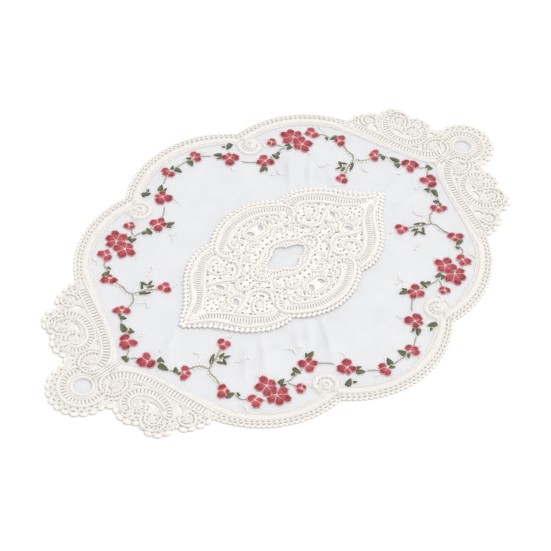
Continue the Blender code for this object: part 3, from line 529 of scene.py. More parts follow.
def all_round(points):
    """A quarter's path in every quarter, in one piece where it starts or ends on an axis."""
    if abs(points[0][0]) < 0.01:
        return mirrored([(-x, y) for x, y in reversed(points[1:])] + list(points), LONG_SIDES)
    if abs(points[-1][1]) < 0.01:
        return mirrored(list(points) + [(x, -y) for x, y in reversed(points[:-1])], ENDS)
    return mirrored(points)


def edge_runs(depth):
    """Arcs beside the outer edge, drawn in by depth: (round, points of one arc, its mirror signs).

    Each arc ends where it meets the next one. The crest's small rounds would no
    longer meet when they are drawn in far, so there the edge itself gives the ends.
    """
    chain = [inset(piece, depth if piece.picot == PICOT else min(depth, CREST_MEET)) for piece in EDGE]
    ends = [crossing(a, b) for a, b in zip(chain, chain[1:])]
    runs = []
    for i, piece in enumerate(EDGE):
        start = bearing(piece, ends[i - 1]) if i else 180.0 - bearing(piece, ends[i])
        stop = bearing(piece, ends[i]) if i < len(ends) else -start
        signs = (FOUR if i < len(ends) else ENDS) if i else LONG_SIDES
        runs.append((piece, arc(inset(piece, depth), start, stop, 0.8), signs))
    return runs


def places(points, pitch, share=0.5):
    """Even places along a path, share of a step past each step: (x, y, heading).

    Without a share they are on the steps, and none is at the path's ends.
    """
    lengths = [0.0]
    for a, b in zip(points, points[1:]):
        lengths.append(lengths[-1] + math.dist(a, b))
    count = max(1, round(lengths[-1] / pitch))
    found, i = [], 0
    for k in range(0 if share else 1, count):
        want = (k + share) * lengths[-1] / count
        while i < len(lengths) - 2 and lengths[i + 1] < want:
            i += 1
        a, b = points[i], points[i + 1]
        t = (want - lengths[i]) / max(lengths[i + 1] - lengths[i], 1e-9)
        found.append((a[0] + (b[0] - a[0]) * t, a[1] + (b[1] - a[1]) * t,
                      math.atan2(b[1] - a[1], b[0] - a[0])))
    return found


def beside(points, by):
    """A path beside another one, by so much to its left."""
    found = []
    for i, (x, y) in enumerate(points):
        before, beyond = points[max(i - 1, 0)], points[min(i + 1, len(points) - 1)]
        run = math.dist(before, beyond)
        found.append((x - (beyond[1] - before[1]) / run * by, y + (beyond[0] - before[0]) / run * by))
    return found


def oval(x, y, long, wide, turn, count=8, square=1.0):
    """A closed oval, its long way turned by radians; square above 1 fills its corners."""
    points = []
    for i in range(count):
        a = 2 * math.pi * (i + 0.5) / count
        u = math.copysign(abs(math.cos(a)) ** (1 / square), math.cos(a)) * long / 2
        v = math.copysign(abs(math.sin(a)) ** (1 / square), math.sin(a)) * wide / 2
        points.append((x + u * math.cos(turn) - v * math.sin(turn),
                       y + u * math.sin(turn) + v * math.cos(turn)))
    return points


def seam(gap, step):
    """Where the organza meets the border, clockwise over one quarter, drawn in by gap."""
    middle, end, scroll = inset(MIDDLE_LOBE, BAND + gap), inset(END_LOBE, BAND + gap), inset(SCROLL, -gap)
    way_in, way_out = crossing(middle, scroll), crossing(end, scroll, side=-1)
    crest = [(x - gap, y) for x, y in CREST_SEAM]
    points = arc(middle, 90, bearing(middle, way_in), step)[:-1]
    points += arc(scroll, bearing(scroll, way_in) % 360, bearing(scroll, way_out) % 360 + 360, step / 2)[:-1]
    points += arc(end, bearing(end, way_out), bearing(end, crest[0]), step)[:-1]
    return points + smooth(crest, step)


def whole_round(quarter):
    """A closed outline from one quarter's clockwise points."""
    edge = []
    for sx, sy in ((1, 1), (1, -1), (-1, -1), (-1, 1)):
        run = quarter[:-1] if sx == sy else list(reversed(quarter[1:]))
        edge += [(x * sx, y * sy) for x, y in run]
    return edge


def ridge_height(x, y, folds):
    """How high the highest of some ridges is at a point."""
    lift = 0.0
    for fold in folds:
        dx, dy = fold.far_x - fold.x, fold.far_y - fold.y
        run = math.hypot(dx, dy)
        along = ((x - fold.x) * dx + (y - fold.y) * dy) / run / run
        across = ((y - fold.y) * dx - (x - fold.x) * dy) / run
        if 0 < along < 1 and abs(across) < fold.width:
            ridge = 0.5 + 0.5 * math.cos(math.pi * across / fold.width)
            lift = max(lift, fold.height * ridge * math.sin(math.pi * along) ** 0.7)
    return lift


def ground_level(x, y):
    """How high the organza's upper side is at a point."""
    beyond = min(max((math.hypot(x / FLAT_MIDDLE[0], y / FLAT_MIDDLE[1]) - 1) / FLAT_FADE, 0.0), 1.0)
    ripple = RIPPLE * noise.noise(Vector((x / RIPPLE_SPAN, y / RIPPLE_SPAN, 0.0)))
    return ORGANZA_TOP + (ridge_height(x, y, FOLDS) * beyond + ridge_height(x, y, CREASES) + ripple)


# ------------------------------------------------------------------ nodes
class Wire:
    """A node's output, to be used in sums and as another node's value."""

    def __init__(self, graph, socket):
        self.graph = graph
        self.socket = socket

    def __add__(self, other):
        return self.graph.maths("ADD", self, other)

    def __sub__(self, other):
        return self.graph.maths("SUBTRACT", self, other)

    def __rsub__(self, other):
        return self.graph.maths("SUBTRACT", other, self)

    def __mul__(self, other):
        return self.graph.maths("MULTIPLY", self, other)

    def __truediv__(self, other):
        return self.graph.maths("DIVIDE", self, other)

    __radd__ = __add__
    __rmul__ = __mul__


class Graph:
    """The nodes of one material or one geometry tree."""

    def __init__(self, tree):
        self.tree = tree

    def node(self, kind, settings=None, values=None, out=0):
        made = self.tree.nodes.new(kind)
        for name, value in (settings or {}).items():
            setattr(made, name, value)
        for key, value in (values or {}).items():
            if isinstance(value, Wire):
                self.tree.links.new(value.socket, made.inputs[key])
            else:
                made.inputs[key].default_value = value
        return Wire(self, made.outputs[out])

    def maths(self, operation, first, second=0.0):
        return self.node("ShaderNodeMath", {"operation": operation}, {0: first, 1: second})

    def mix(self, share, first, second):
        return self.node("ShaderNodeMix", {"data_type": "RGBA"}, {0: share, 6: first, 7: second}, out=2)

    def noise(self, place, scale, detail):
        return self.node("ShaderNodeTexNoise", {}, {"Vector": place, "Scale": scale, "Detail": detail})

    def split(self, vector):
        """The three numbers of a vector."""
        made = self.node("ShaderNodeSeparateXYZ", {}, {"Vector": vector}).socket.node
        return [Wire(self, socket) for socket in made.outputs]


def colour(red, green, blue):
    """A colour as seen on screen, 0 to 255 each, as the shader wants it."""
    return (*[(c / 255 / 12.92) if c / 255 <= 0.04045 else ((c / 255 + 0.055) / 1.055) ** 2.4
              for c in (red, green, blue)], 1.0)


# ------------------------------------------------------------------ geometry trees
def geometry_graph(name, inputs):
    """A tree with a geometry input, named inputs and a geometry output."""
    tree = bpy.data.node_groups.new(name, "GeometryNodeTree")
    for label, kind in (("Geometry", "Geometry"), *inputs.items(), ("Material", "Material")):
        tree.interface.new_socket(label, in_out="INPUT", socket_type="NodeSocket" + kind)
    tree.interface.new_socket("Geometry", in_out="OUTPUT", socket_type="NodeSocketGeometry")
    graph = Graph(tree)
    start = tree.nodes.new("NodeGroupInput")
    return graph, {socket.name: Wire(graph, socket) for socket in start.outputs if socket.name}


def close_graph(graph, shape, material):
    """Realize, shade smooth, set the material, and end the tree."""
    real = graph.node("GeometryNodeRealizeInstances", {}, {"Geometry": shape})
    soft = graph.node("GeometryNodeSetShadeSmooth", {}, {"Geometry": real, "Shade Smooth": True})
    done = graph.node("GeometryNodeSetMaterial", {}, {"Geometry": soft, "Material": material})
    end = graph.tree.nodes.new("NodeGroupOutput")
    graph.tree.links.new(done.socket, end.inputs["Geometry"])
    return graph.tree


def knot(graph, given):
    """A round knot 1 across."""
    return graph.node("GeometryNodeMeshUVSphere", {},
                      {"Segments": given["Sides"], "Rings": given["Rings"], "Radius": 0.5})


def cord_tree():
    """A padded cord along each path: as wide as the path's radius in mm, with round ends."""
    graph, given = geometry_graph("cord along a path", {"Step": "Float", "Flatness": "Float", "Sides": "Int"})
    path = graph.node("GeometryNodeResampleCurve", {"mode": "LENGTH"},
                      {"Curve": given["Geometry"], "Length": given["Step"]})
    path = graph.node("GeometryNodeSetCurveNormal", {"mode": "Z_UP"}, {"Curve": path})
    along = graph.node("GeometryNodeSplineParameter", out="Length")
    total = graph.node("GeometryNodeSplineLength", out="Length")
    closed = graph.node("GeometryNodeInputSplineCyclic")
    path = graph.node("GeometryNodeStoreNamedAttribute", {"data_type": "FLOAT", "domain": "POINT"},
                      {"Geometry": path, "Name": "along", "Value": along})
    width = graph.node("GeometryNodeInputRadius") * MM
    to_end = graph.maths("MINIMUM", along, total - along) / (width * 0.6)
    short = 1.0 - graph.maths("MINIMUM", to_end, 1.0)
    taper = graph.maths("SQRT", graph.maths("MAXIMUM", 1.0 - short * short, 0.04))
    taper = graph.maths("MAXIMUM", taper, closed)
    section = graph.node("GeometryNodeCurvePrimitiveCircle", {"mode": "RADIUS"},
                         {"Resolution": given["Sides"], "Radius": 0.5})
    flat = graph.node("ShaderNodeCombineXYZ", {}, {"X": 1.0, "Y": given["Flatness"], "Z": 1.0})
    section = graph.node("GeometryNodeTransform", {}, {"Geometry": section, "Scale": flat})
    cord = graph.node("GeometryNodeCurveToMesh", {},
                      {"Curve": path, "Profile Curve": section, "Scale": width * taper, "Fill Caps": True})
    return close_graph(graph, cord, given["Material"])


def row_tree():
    """A row of rounded knots along each path, one to a pitch, on the steps or between them."""
    graph, given = geometry_graph("row along a path", {
        "Pitch": "Float", "Along": "Float", "Across": "Float", "Height": "Float", "Between": "Int",
        "Unevenness": "Float", "Sides": "Int", "Rings": "Int"})
    total = graph.node("GeometryNodeSplineLength", out="Length")
    steps = graph.maths("ROUND", total / given["Pitch"])
    path = graph.node("GeometryNodeResampleCurve", {"mode": "COUNT"},
                      {"Curve": given["Geometry"], "Count": steps * 2.0 + 1.0})
    index = graph.node("GeometryNodeSplineParameter", out="Index")
    odd = graph.maths("COMPARE", graph.maths("MODULO", index, 2.0), given["Between"])
    facing = graph.node("FunctionNodeAlignRotationToVector", {"axis": "X", "pivot_axis": "Z"},
                        {"Vector": graph.node("GeometryNodeInputTangent")})
    uneven = graph.node("FunctionNodeRandomValue", {"data_type": "FLOAT"},
                        {2: 1.0 - given["Unevenness"], 3: given["Unevenness"] + 1.0, "Seed": 7}, out=1)
    across = given["Across"] * graph.node("GeometryNodeInputRadius")
    size = graph.node("ShaderNodeCombineXYZ", {}, {
        "X": given["Along"] * uneven, "Y": across * uneven, "Z": given["Height"] * uneven})
    knots = graph.node("GeometryNodeInstanceOnPoints", {}, {
        "Points": path, "Selection": odd, "Instance": knot(graph, given), "Rotation": facing, "Scale": size})
    return close_graph(graph, knots, given["Material"])


def stitch_tree():
    """One long padded stitch at each point, turned and sized by the point's own attributes."""
    graph, given = geometry_graph("stitches on points", {"Sides": "Int", "Rings": "Int"})
    turn, size = [graph.node("GeometryNodeInputNamedAttribute", {"data_type": "FLOAT_VECTOR"}, {"Name": name})
                  for name in ("turn", "size")]
    facing = graph.node("FunctionNodeEulerToRotation", {}, {"Euler": turn})
    lying = graph.node("GeometryNodeTransform", {},
                       {"Geometry": knot(graph, given), "Rotation": (0.0, math.pi / 2, 0.0)})
    stitches = graph.node("GeometryNodeInstanceOnPoints", {}, {
        "Points": given["Geometry"], "Instance": lying, "Rotation": facing, "Scale": size})
    return close_graph(graph, stitches, given["Material"])


# ------------------------------------------------------------------ objects and meshes
def add_object(name, data):
    item = bpy.data.objects.new(name, data)
    bpy.context.scene.collection.objects.link(item)
    return item


def as_mesh(item):
    """An object's evaluated shape as a plain mesh; the object is removed."""
    bpy.context.view_layer.update()
    mesh = bpy.data.meshes.new_from_object(item.evaluated_get(bpy.context.evaluated_depsgraph_get()))
    bpy.data.objects.remove(item, do_unlink=True)
    return mesh


def run_tree(tree, source, finish, **sizes):
    """The plain mesh that a tree makes from an object."""
    modifier = source.modifiers.new(tree.name, "NODES")
    modifier.node_group = tree
    values = {"Material": MATERIALS[finish], **{name.title(): value for name, value in sizes.items()}}
    for socket in tree.interface.items_tree:
        if socket.in_out == "INPUT" and socket.name in values:
            modifier[socket.identifier] = values[socket.name]
    return as_mesh(source)


def add_spline(curve, points, level=0.0, radius=1.0):
    """A path of straight steps. Points may have a height of their own above the level."""
    spline = curve.splines.new("POLY")
    spline.points.add(len(points) - 1)
    for slot, point in zip(spline.points, points):
        height = level + (point[2] if len(point) > 2 else 0.0)
        slot.co = (point[0] * MM, point[1] * MM, height * MM, 1.0)
        slot.radius = radius
    return spline


def path_object(paths):
    """A curve object from (points, level, radius) paths; equal first and last points close a path."""
    curve = bpy.data.curves.new("paths", "CURVE")
    curve.dimensions = "3D"
    for points, level, radius in paths:
        closed = math.dist(points[0][:2], points[-1][:2]) < 0.01
        add_spline(curve, points[:-1] if closed else points, level, radius).use_cyclic_u = closed
    return add_object("paths", curve)


def cords(paths, finish, yarn):
    return run_tree(CORD, path_object(paths), finish, step=yarn.step * MM, flatness=yarn.flatness,
                    sides=yarn.sides)


def row(paths, finish, bead):
    return run_tree(ROW, path_object(paths), finish, pitch=bead.pitch * MM, along=bead.along * MM,
                    across=bead.across * MM, height=bead.height * MM, between=bead.between,
                    unevenness=bead.uneven, sides=bead.sides, rings=bead.rings)


def stitched(stitches, finish, sides=6, rings=4):
    """A padded stitch for each place, with its tone."""
    mesh = bpy.data.meshes.new("stitch points")
    mesh.vertices.add(len(stitches))
    mesh.vertices.foreach_set("co", [c * MM for s in stitches for c in (s.x, s.y, s.z)])
    for name, kind, field, values in (
            ("turn", "FLOAT_VECTOR", "vector", [c for s in stitches for c in (0.0, 0.0, s.turn)]),
            ("size", "FLOAT_VECTOR", "vector", [c * MM for s in stitches for c in (s.long, s.wide, s.high)]),
            ("tone", "FLOAT", "value", [s.tone for s in stitches])):
        mesh.attributes.new(name, kind, "POINT").data.foreach_set(field, values)
    return run_tree(STITCHES, add_object("stitch points", mesh), finish, sides=sides, rings=rings)


def add_piece(name, meshes, finish, swap=None):
    """One visible piece from plain meshes, riding on the doily's body."""
    first = meshes[0]
    if len(meshes) > 1:
        body = bmesh.new()
        for mesh in meshes:
            body.from_mesh(mesh)
        body.to_mesh(first)
        body.free()
    first.name = name
    first.materials.clear()
    first.materials.append(MATERIALS[finish])
    item = add_object(name, first)
    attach(item, "root")
    if swap:
        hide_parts(swap)
    return item


def clear_openings(outlines, room=LEAST_THREAD, step=0.4):
    """The outlines without those that would run into one that comes before them."""
    marks = []
    for number, points in enumerate(outlines):
        for a, b in zip(points, points[1:] + points[:1]):
            parts = max(1, math.ceil(math.dist(a, b) / step))
            marks += [(number, a[0] + (b[0] - a[0]) * k / parts, a[1] + (b[1] - a[1]) * k / parts)
                      for k in range(parts)]
    tree = kdtree.KDTree(len(marks))
    for i, (number, x, y) in enumerate(marks):
        tree.insert((x, y, 0.0), i)
    tree.balance()
    near = [set() for _ in outlines]
    for number, x, y in marks:
        near[number] |= {marks[i][0] for _, i, _ in tree.find_range((x, y, 0.0), room)}
    kept = set()
    for number in range(len(outlines)):
        if not (near[number] & kept):
            kept.add(number)
    return [outlines[number] for number in sorted(kept)]


def flat_lace(outlines, levels, soft=SOFT_EDGE):
    """Flat lace between two levels: an outline with its openings and soft edges."""
    curve = bpy.data.curves.new("flat lace", "CURVE")
    curve.dimensions = "2D"
    curve.fill_mode = "BOTH"
    curve.extrude = ((levels[1] - levels[0]) / 2 - soft) * MM
    curve.bevel_depth = soft * MM
    curve.bevel_resolution = 0
    curve.offset = -soft * MM
    for points in clear_openings(outlines):
        add_spline(curve, points).use_cyclic_u = True
    mesh = as_mesh(add_object("flat lace", curve))
    body = bmesh.new()
    body.from_mesh(mesh)
    bmesh.ops.remove_doubles(body, verts=body.verts, dist=0.00001)
    bmesh.ops.translate(body, verts=body.verts, vec=(0.0, 0.0, (levels[0] + levels[1]) / 2 * MM))
    bmesh.ops.recalc_face_normals(body, faces=body.faces)
    body.to_mesh(mesh)
    body.free()
    mesh.shade_smooth()
    mesh.set_sharp_from_angle(angle=math.radians(50))
    return mesh


def grid_mesh(name, cells, size):
    """A flat grid of cells, as long and as wide as size in metres."""
    body = bmesh.new()
    bmesh.ops.create_grid(body, x_segments=cells[0], y_segments=cells[1], size=0.5)
    for vertex in body.verts:
        vertex.co.x *= size[0]
        vertex.co.y *= size[1]
    mesh = bpy.data.meshes.new(name)
    body.to_mesh(mesh)
    body.free()
    return mesh


def laid(copies, level, width=1.0):
    """Paths at a level, with a width."""
    return [(copy, level, width) for copy in copies]


def pads(table, finish, level, height, sides, rings):
    """Domed satin pads at the table's places, in each mirrored quarter."""
    domes = [Stitch(p.x * sx, p.y * sy, level, math.radians(p.turn) * sx * sy, p.long, p.wide, height, 0.5)
             for p in table for sx, sy in FOUR]
    return stitched(domes, finish, sides, rings)


def hole_outlines(table, share=1.0):
    return [oval(h.x * sx, h.y * sy, h.long * share, h.wide * share, math.radians(h.turn) * sx * sy,
                 8 if max(h.long, h.wide) < 4 else 14)
            for h in table for sx, sy in FOUR]


def slits_along(paths, slits, turn=0.0, square=1.0, share=0.5):
    """A row of small openings on each path."""
    return [oval(x, y, slits.long, slits.wide, heading + turn, 8, square)
            for path in paths for x, y, heading in places(path, slits.pitch, share)]


def cord_slits(table, slits):
    """A row of small openings on both sides of each cord."""
    return [outline for cord in table for side in (1, -1) for outline in slits_along(
        [beside(run, side * (cord.width / 2 + slits.off)) for run in all_round(smooth(cord.points))], slits)]


def ladder_paths(ladder):
    return all_round(smooth(ladder.points, 0.6))


def ladder_slots(ladders):
    """The ladders' slots, each across its path."""
    return [outline for ladder in ladders
            for outline in slits_along(ladder_paths(ladder), ladder, math.pi / 2, 1.5)]


def ladder_bars(ladders, finish, level):
    """Raised bars along the ladders, one on each step between two slots."""
    return [row(laid(ladder_paths(ladder), level), finish,
                RING_BAR._replace(pitch=ladder.pitch, along=ladder.pitch - ladder.wide,
                                  across=ladder.long + BAR_PAST)) for ladder in ladders]


# ------------------------------------------------------------------ materials
def new_material(name, roughness, sheen=0.0, specular=0.3):
    """A cloth material's graph, its shader node, and the piece's own coordinates in mm."""
    material = bpy.data.materials.new(name)
    material.use_nodes = True
    graph = Graph(material.node_tree)
    shader = material.node_tree.nodes["Principled BSDF"]
    shader.inputs["Roughness"].default_value = roughness
    shader.inputs["Sheen Weight"].default_value = sheen
    shader.inputs["Specular IOR Level"].default_value = specular
    place = graph.node("ShaderNodeTexCoord", out="Object")
    place = graph.node("ShaderNodeVectorMath", {"operation": "SCALE"}, {0: place, "Scale": 1 / MM})
    return material, graph, shader, place


def dress(graph, shader, base, height, depth, strength=1.0):
    """Give the shader its colour, and its relief in mm."""
    graph.tree.links.new(base.socket, shader.inputs["Base Color"])
    values = {"Strength": strength, "Distance": depth * MM, "Height": height}
    normal = graph.node("ShaderNodeBump", {}, values, out="Normal")
    graph.tree.links.new(normal.socket, shader.inputs["Normal"])


def lace_material(name, lace):
    """Cotton lace thread with painted shade: warmer and darker towards its low level than at its high one.

    Stitches lie across a cord, or as a knotted net on flat lace.
    """
    material, graph, shader, place = new_material(name, lace.roughness, sheen=0.25)
    shader.inputs["Subsurface Weight"].default_value = LACE_GLOW
    shader.inputs["Subsurface Radius"].default_value = (1.0, 0.96, 0.9)
    shader.inputs["Subsurface Scale"].default_value = LACE_GLOW_REACH * MM
    cloud, grain, fuzz = [graph.noise(place, *sizes) for sizes in ((0.09, 3.0), (0.55, 2.0), (2.2, 4.0))]
    if lace.net:
        ridge = 1.0 - graph.node("ShaderNodeTexVoronoi", {"feature": "SMOOTH_F1"},
                                 {"Vector": place, "Scale": 1 / lace.stitch, "Smoothness": 0.6})
    else:
        along = graph.node("ShaderNodeAttribute", {"attribute_name": "along"}, out="Fac")
        ridge = graph.maths("SINE", along * (2 * math.pi / lace.stitch / MM) + fuzz * 2.4) * 0.5 + 0.5
    wear = cloud * 0.5 + grain * 0.9 + fuzz * 0.2 - 0.3
    base = graph.mix(wear, colour(*lace.dark), colour(*lace.light))
    base = graph.mix(ridge * 0.16, base, colour(*lace.dark))
    # Painted shade: below its high level the thread fades to the warmer, darker recess colour.
    up = graph.node("ShaderNodeClamp", {}, {0: (graph.split(place)[2] - lace.low) / (lace.high - lace.low)})
    dress(graph, shader, graph.mix(up, colour(*RECESS_PAINTED_SHADE), base), ridge * 0.7 + fuzz * 0.5, lace.depth)
    return material


def organza_material(name):
    """Sheer white organza: fine crossed threads, half see-through."""
    material, graph, shader, place = new_material(name, 0.42, sheen=0.35)
    warp, weft = [graph.maths("SINE", way * (2 * math.pi / ORGANZA_THREAD)) * 0.5 + 0.5
                  for way in graph.split(place)[:2]]
    net = graph.maths("MAXIMUM", warp, weft)
    haze = graph.noise(place, 0.035, 2.0)
    cover = net * 0.22 + haze * 0.12 + ORGANZA_BODY
    graph.tree.links.new(cover.socket, shader.inputs["Alpha"])
    dress(graph, shader, graph.mix(haze, colour(236, 237, 240), colour(250, 250, 252)), net, 0.03, 0.5)
    return material


def silk_material(name, silk):
    """Glossy embroidery thread, shaded from stitch to stitch."""
    material, graph, shader, place = new_material(name, silk.roughness, sheen=0.2, specular=0.5)
    tone = graph.node("ShaderNodeAttribute", {"attribute_name": "tone"}, out="Fac")
    share = graph.node("ShaderNodeClamp", {}, {0: tone * 0.9 + graph.noise(place, 1.4, 3.0) * 0.5 - 0.2})
    base = graph.mix(share, colour(*silk.deep), colour(*silk.light))
    dress(graph, shader, base, graph.noise(place, 7.0, 2.0), 0.05, 0.6)
    return material


# ------------------------------------------------------------------ embroidery
def petal_stitches(petal, middle, draw):
    """Long stitches that fan out from the bloom's middle and fill one oval petal, in two tones."""
    dx, dy = petal.x - middle[0], petal.y - middle[1]
    away, heading = math.hypot(dx, dy), math.atan2(dy, dx)
    a, b = petal.wide / 2 + PETAL_SPREAD, petal.high / 2 + PETAL_SPREAD
    half = math.hypot(a * math.sin(heading), b * math.cos(heading))
    fan = min(math.asin(min(half / max(away, half * 1.02), 1.0)), FAN_WIDEST)
    count = max(6, round(2 * fan * (away + 0.8) / STITCH_PITCH))
    base = draw.uniform(-0.16, 0.16)
    found = []

    def add(start, stop, level, long, wide, high, tone):
        mid = (start + stop) / 2
        found.append(Stitch(middle[0] + ux * mid, middle[1] + uy * mid, level, turn, long, wide, high, tone))

    for i in range(count):
        t = (i + 0.5) / count * 2 - 1
        turn = heading + t * fan
        ux, uy = math.cos(turn), math.sin(turn)
        qa = (ux / a) ** 2 + (uy / b) ** 2
        qb = -(dx * ux / a ** 2 + dy * uy / b ** 2)
        qc = (dx / a) ** 2 + (dy / b) ** 2 - 1
        reach = math.sqrt(max(qb * qb - qa * qc, 0.0)) / qa
        near, far = max(-qb / qa - reach, PETAL_START), -qb / qa + reach
        near -= (near - PETAL_START) * 0.5
        far *= draw.uniform(0.9, 1.08)
        rise = PETAL_RISE * math.sqrt(max(1 - t * t, 0.0))
        meet = near + (far - near) * draw.uniform(0.42, 0.62)
        for start, stop, pale in ((near, meet + 0.4, 0.2), (meet - 0.4, far, 0.0)):
            add(start, stop, STITCH_LEVEL + rise * 0.5, stop - start + 0.3, STITCH_WIDE, 0.45 + rise * 0.8,
                0.16 + base + pale + draw.uniform(-0.2, 0.26))
        if i % 2:
            add(far, far, STITCH_LEVEL, 1.6, STITCH_WIDE * 1.1, 0.4, 0.75 + draw.uniform(-0.25, 0.25))
    return found


def heart_stitches(middle, petals, draw):
    """Pale stitches from a bloom's middle out between its petals, and a few knots in the middle."""
    turns = sorted(math.atan2(p.y - middle[1], p.x - middle[0]) for p in petals)
    found = []
    for before, beyond in zip(turns, turns[1:] + [turns[0] + 2 * math.pi]):
        turn = (before + beyond) / 2
        if beyond - before > HEART_WIDEST:
            continue
        for far in (draw.uniform(2.6, 3.6), draw.uniform(4.2, 5.6)):
            start = 0.0 if far < 4 else 2.2
            mid = (start + far) / 2
            x, y = middle[0] + math.cos(turn) * mid, middle[1] + math.sin(turn) * mid
            found.append(Stitch(x, y, HEART_LEVEL, turn + draw.uniform(-0.1, 0.1), far - start, 0.62, 0.55,
                                draw.uniform(0.2, 0.8) - start * 0.15))
    for _ in range(HEART_KNOTS):
        found.append(Stitch(middle[0] + draw.uniform(-0.8, 0.8), middle[1] + draw.uniform(-0.8, 0.8),
                            HEART_LEVEL + 0.03, draw.uniform(0, math.pi), 1.5, 1.0, 0.7,
                            draw.uniform(0.5, 1.0)))
    return found


def leaf_stitches(leaf, draw):
    """Slanting stitches on both sides of a leaf's midrib."""
    turn = math.radians(leaf.turn)
    count = max(4, round(leaf.long / LEAF_PITCH))
    found = []
    for side in (1, -1):
        for i in range(count):
            t = (i + 0.5) / count * 2 - 1
            width = leaf.wide / 2 * (1 - abs(t) ** 2.2) ** 0.8 * (1.0 - 0.18 * t)
            u = t * leaf.long / 2 * 0.86 + 0.5 * width * math.cos(LEAF_SLANT)
            v = side * width * 0.5
            found.append(Stitch(leaf.x + u * math.cos(turn) - v * math.sin(turn),
                                leaf.y + u * math.sin(turn) + v * math.cos(turn), 0.28,
                                turn + side * LEAF_SLANT, width / math.sin(LEAF_SLANT) + 0.5, 0.72, 0.75,
                                0.3 + 0.18 * side + draw.uniform(-0.2, 0.25)))
    if leaf.wide > RIB_FROM:
        found.append(Stitch(leaf.x, leaf.y, 0.62, turn, leaf.long * 0.9, 0.42, 0.5, 1.6))
    return found


def leaf_edge(leaf):
    """A pale thread beside a leaf, as a path."""
    turn, half = math.radians(leaf.turn), leaf.long / 2 + 0.6
    return [(leaf.x + u * half * math.cos(turn) + leaf.wide * v * math.sin(turn),
             leaf.y + u * half * math.sin(turn) - leaf.wide * v * math.cos(turn))
            for u, v in ((-1.0, 0.1), (-0.4, 0.56), (0.3, 0.52), (1.0, 0.0))]


def everywhere(stitches):
    """The same stitches in all four quarters, lifted onto the organza."""
    return [s._replace(x=s.x * sx, y=s.y * sy, z=s.z + ground_level(s.x * sx, s.y * sy),
                       turn=s.turn * sx * sy + (math.pi if sx < 0 else 0.0))
            for s in stitches for sx, sy in FOUR]


def on_ground(path, level, width):
    """A quarter's path in all four, with its heights on the organza."""
    return laid([[(x, y, ground_level(x, y)) for x, y in copy] for copy in mirrored(path)], level, width)


def embroidery():
    """Satin-stitch blooms and leaves with their stems, and white sprigs."""
    draw = random.Random(12)
    petals, hearts, leaves, outlines, stems, curls, buds = [], [], [], [], [], [], []
    for middle, parts in BLOOMS:
        for petal in parts:
            petals += petal_stitches(petal, middle, draw)
            edge = oval(petal.x, petal.y, petal.wide + 0.1, petal.high + 0.1, 0.0, 18)
            outlines += on_ground(edge + edge[:1], *PETAL_THREAD)
        hearts += heart_stitches(middle, parts, draw)
    for leaf in LEAVES:
        leaves += leaf_stitches(leaf, draw)
        curls += on_ground(smooth(leaf_edge(leaf), THREAD_STEP), *LEAF_THREAD)
    for number, points in enumerate(STEMS):
        path = smooth(points, THREAD_STEP)
        stems += on_ground(path, *STEM_THREAD)
        if number in BEADED_STEMS:
            for side, first in STEM_BUD_ROWS:
                buds += on_ground(beside(path, side)[first:-3], *STEM_BUDS)
    for points in CURLS:
        curls += on_ground(smooth(points, THREAD_STEP), *CURL_THREAD)
        buds += on_ground(smooth(points[1:], THREAD_STEP), *CURL_BUDS)
    edging = cords(outlines, "heart_silk", PETAL_YARN)
    sprigs = cords(curls, "sprig_thread", FINE_YARN)
    beads = row(buds, "sprig_thread", BUD)
    return [
        add_piece("petals", [stitched(everywhere(petals), "petal_silk")], "petal_silk"),
        add_piece("bloom_hearts", [stitched(everywhere(hearts), "heart_silk"), edging], "heart_silk"),
        add_piece("leaves", [stitched(everywhere(leaves), "leaf_silk")], "leaf_silk"),
        add_piece("stems", [cords(stems, "stem_silk", FINE_YARN)], "stem_silk"),
        add_piece("white_sprigs", [sprigs, beads], "sprig_thread"),
    ]


# ------------------------------------------------------------------ the ground's own cloth
def organza_sheet():
    """The sheer ground: a thin flat slab, trimmed to its outline, then lifted into its folds."""
    cells = [round(size / CLOTH_CELL) for size in CLOTH_SIZE]
    sheet = add_object("organza", grid_mesh("organza", cells, [size * MM for size in CLOTH_SIZE]))
    thick = sheet.modifiers.new("thickness", "SOLIDIFY")
    thick.thickness = ORGANZA_THICK * MM
    thick.offset = -1.0
    cutter = add_object("organza outline", flat_lace([ground_outline()], (-5.0, 5.0), 0.01))
    trim = sheet.modifiers.new("outline", "BOOLEAN")
    trim.operation = "INTERSECT"
    trim.solver = "EXACT"
    trim.object = cutter
    cloth = as_mesh(sheet)
    bpy.data.objects.remove(cutter, do_unlink=True)
    for vertex in cloth.vertices:
        vertex.co.z += ground_level(vertex.co.x / MM, vertex.co.y / MM) * MM
    cloth.shade_smooth()
    return add_piece("organza_sheet", [cloth], "sheer_organza", "organza_ground")


def ground_outline():
    """The organza's plan, out to a little way under the border's edge."""
    return whole_round(seam(-SEAM_TURN_IN, 2.0))


def eyelet_organza():
    """The sheer cloth that shows in each ring's eyelet, a round let into the lace."""
    wide, low = EYELET_CLOTH
    rounds = [oval(EYELET.x * sx, 0.0, wide, wide, 0.0, 28) for sx in (1, -1)]
    mesh = flat_lace(rounds, (low, low + ORGANZA_THICK), 0.02)
    return add_piece("eyelet_organza", [mesh], "sheer_organza")


# ------------------------------------------------------------------ the border
def border_outline(depth):
    """One quarter of the border's edge, drawn in, from the long side's middle to the tip."""
    edge = [(0.0, MIDDLE_LOBE.y + MIDDLE_LOBE.radius - depth)]
    for piece, run, signs in edge_runs(depth):
        middle = len(run) // 2
        edge += {LONG_SIDES: run[middle + 1:-1], FOUR: run[:-1], ENDS: run[:middle]}[signs]
    return edge + [(RING.x + RING.radius - depth, 0.0)]


def ring_path():
    return mirrored(arc(RING_LADDER, RING_LADDER_TURN, -RING_LADDER_TURN, 0.6), ENDS)


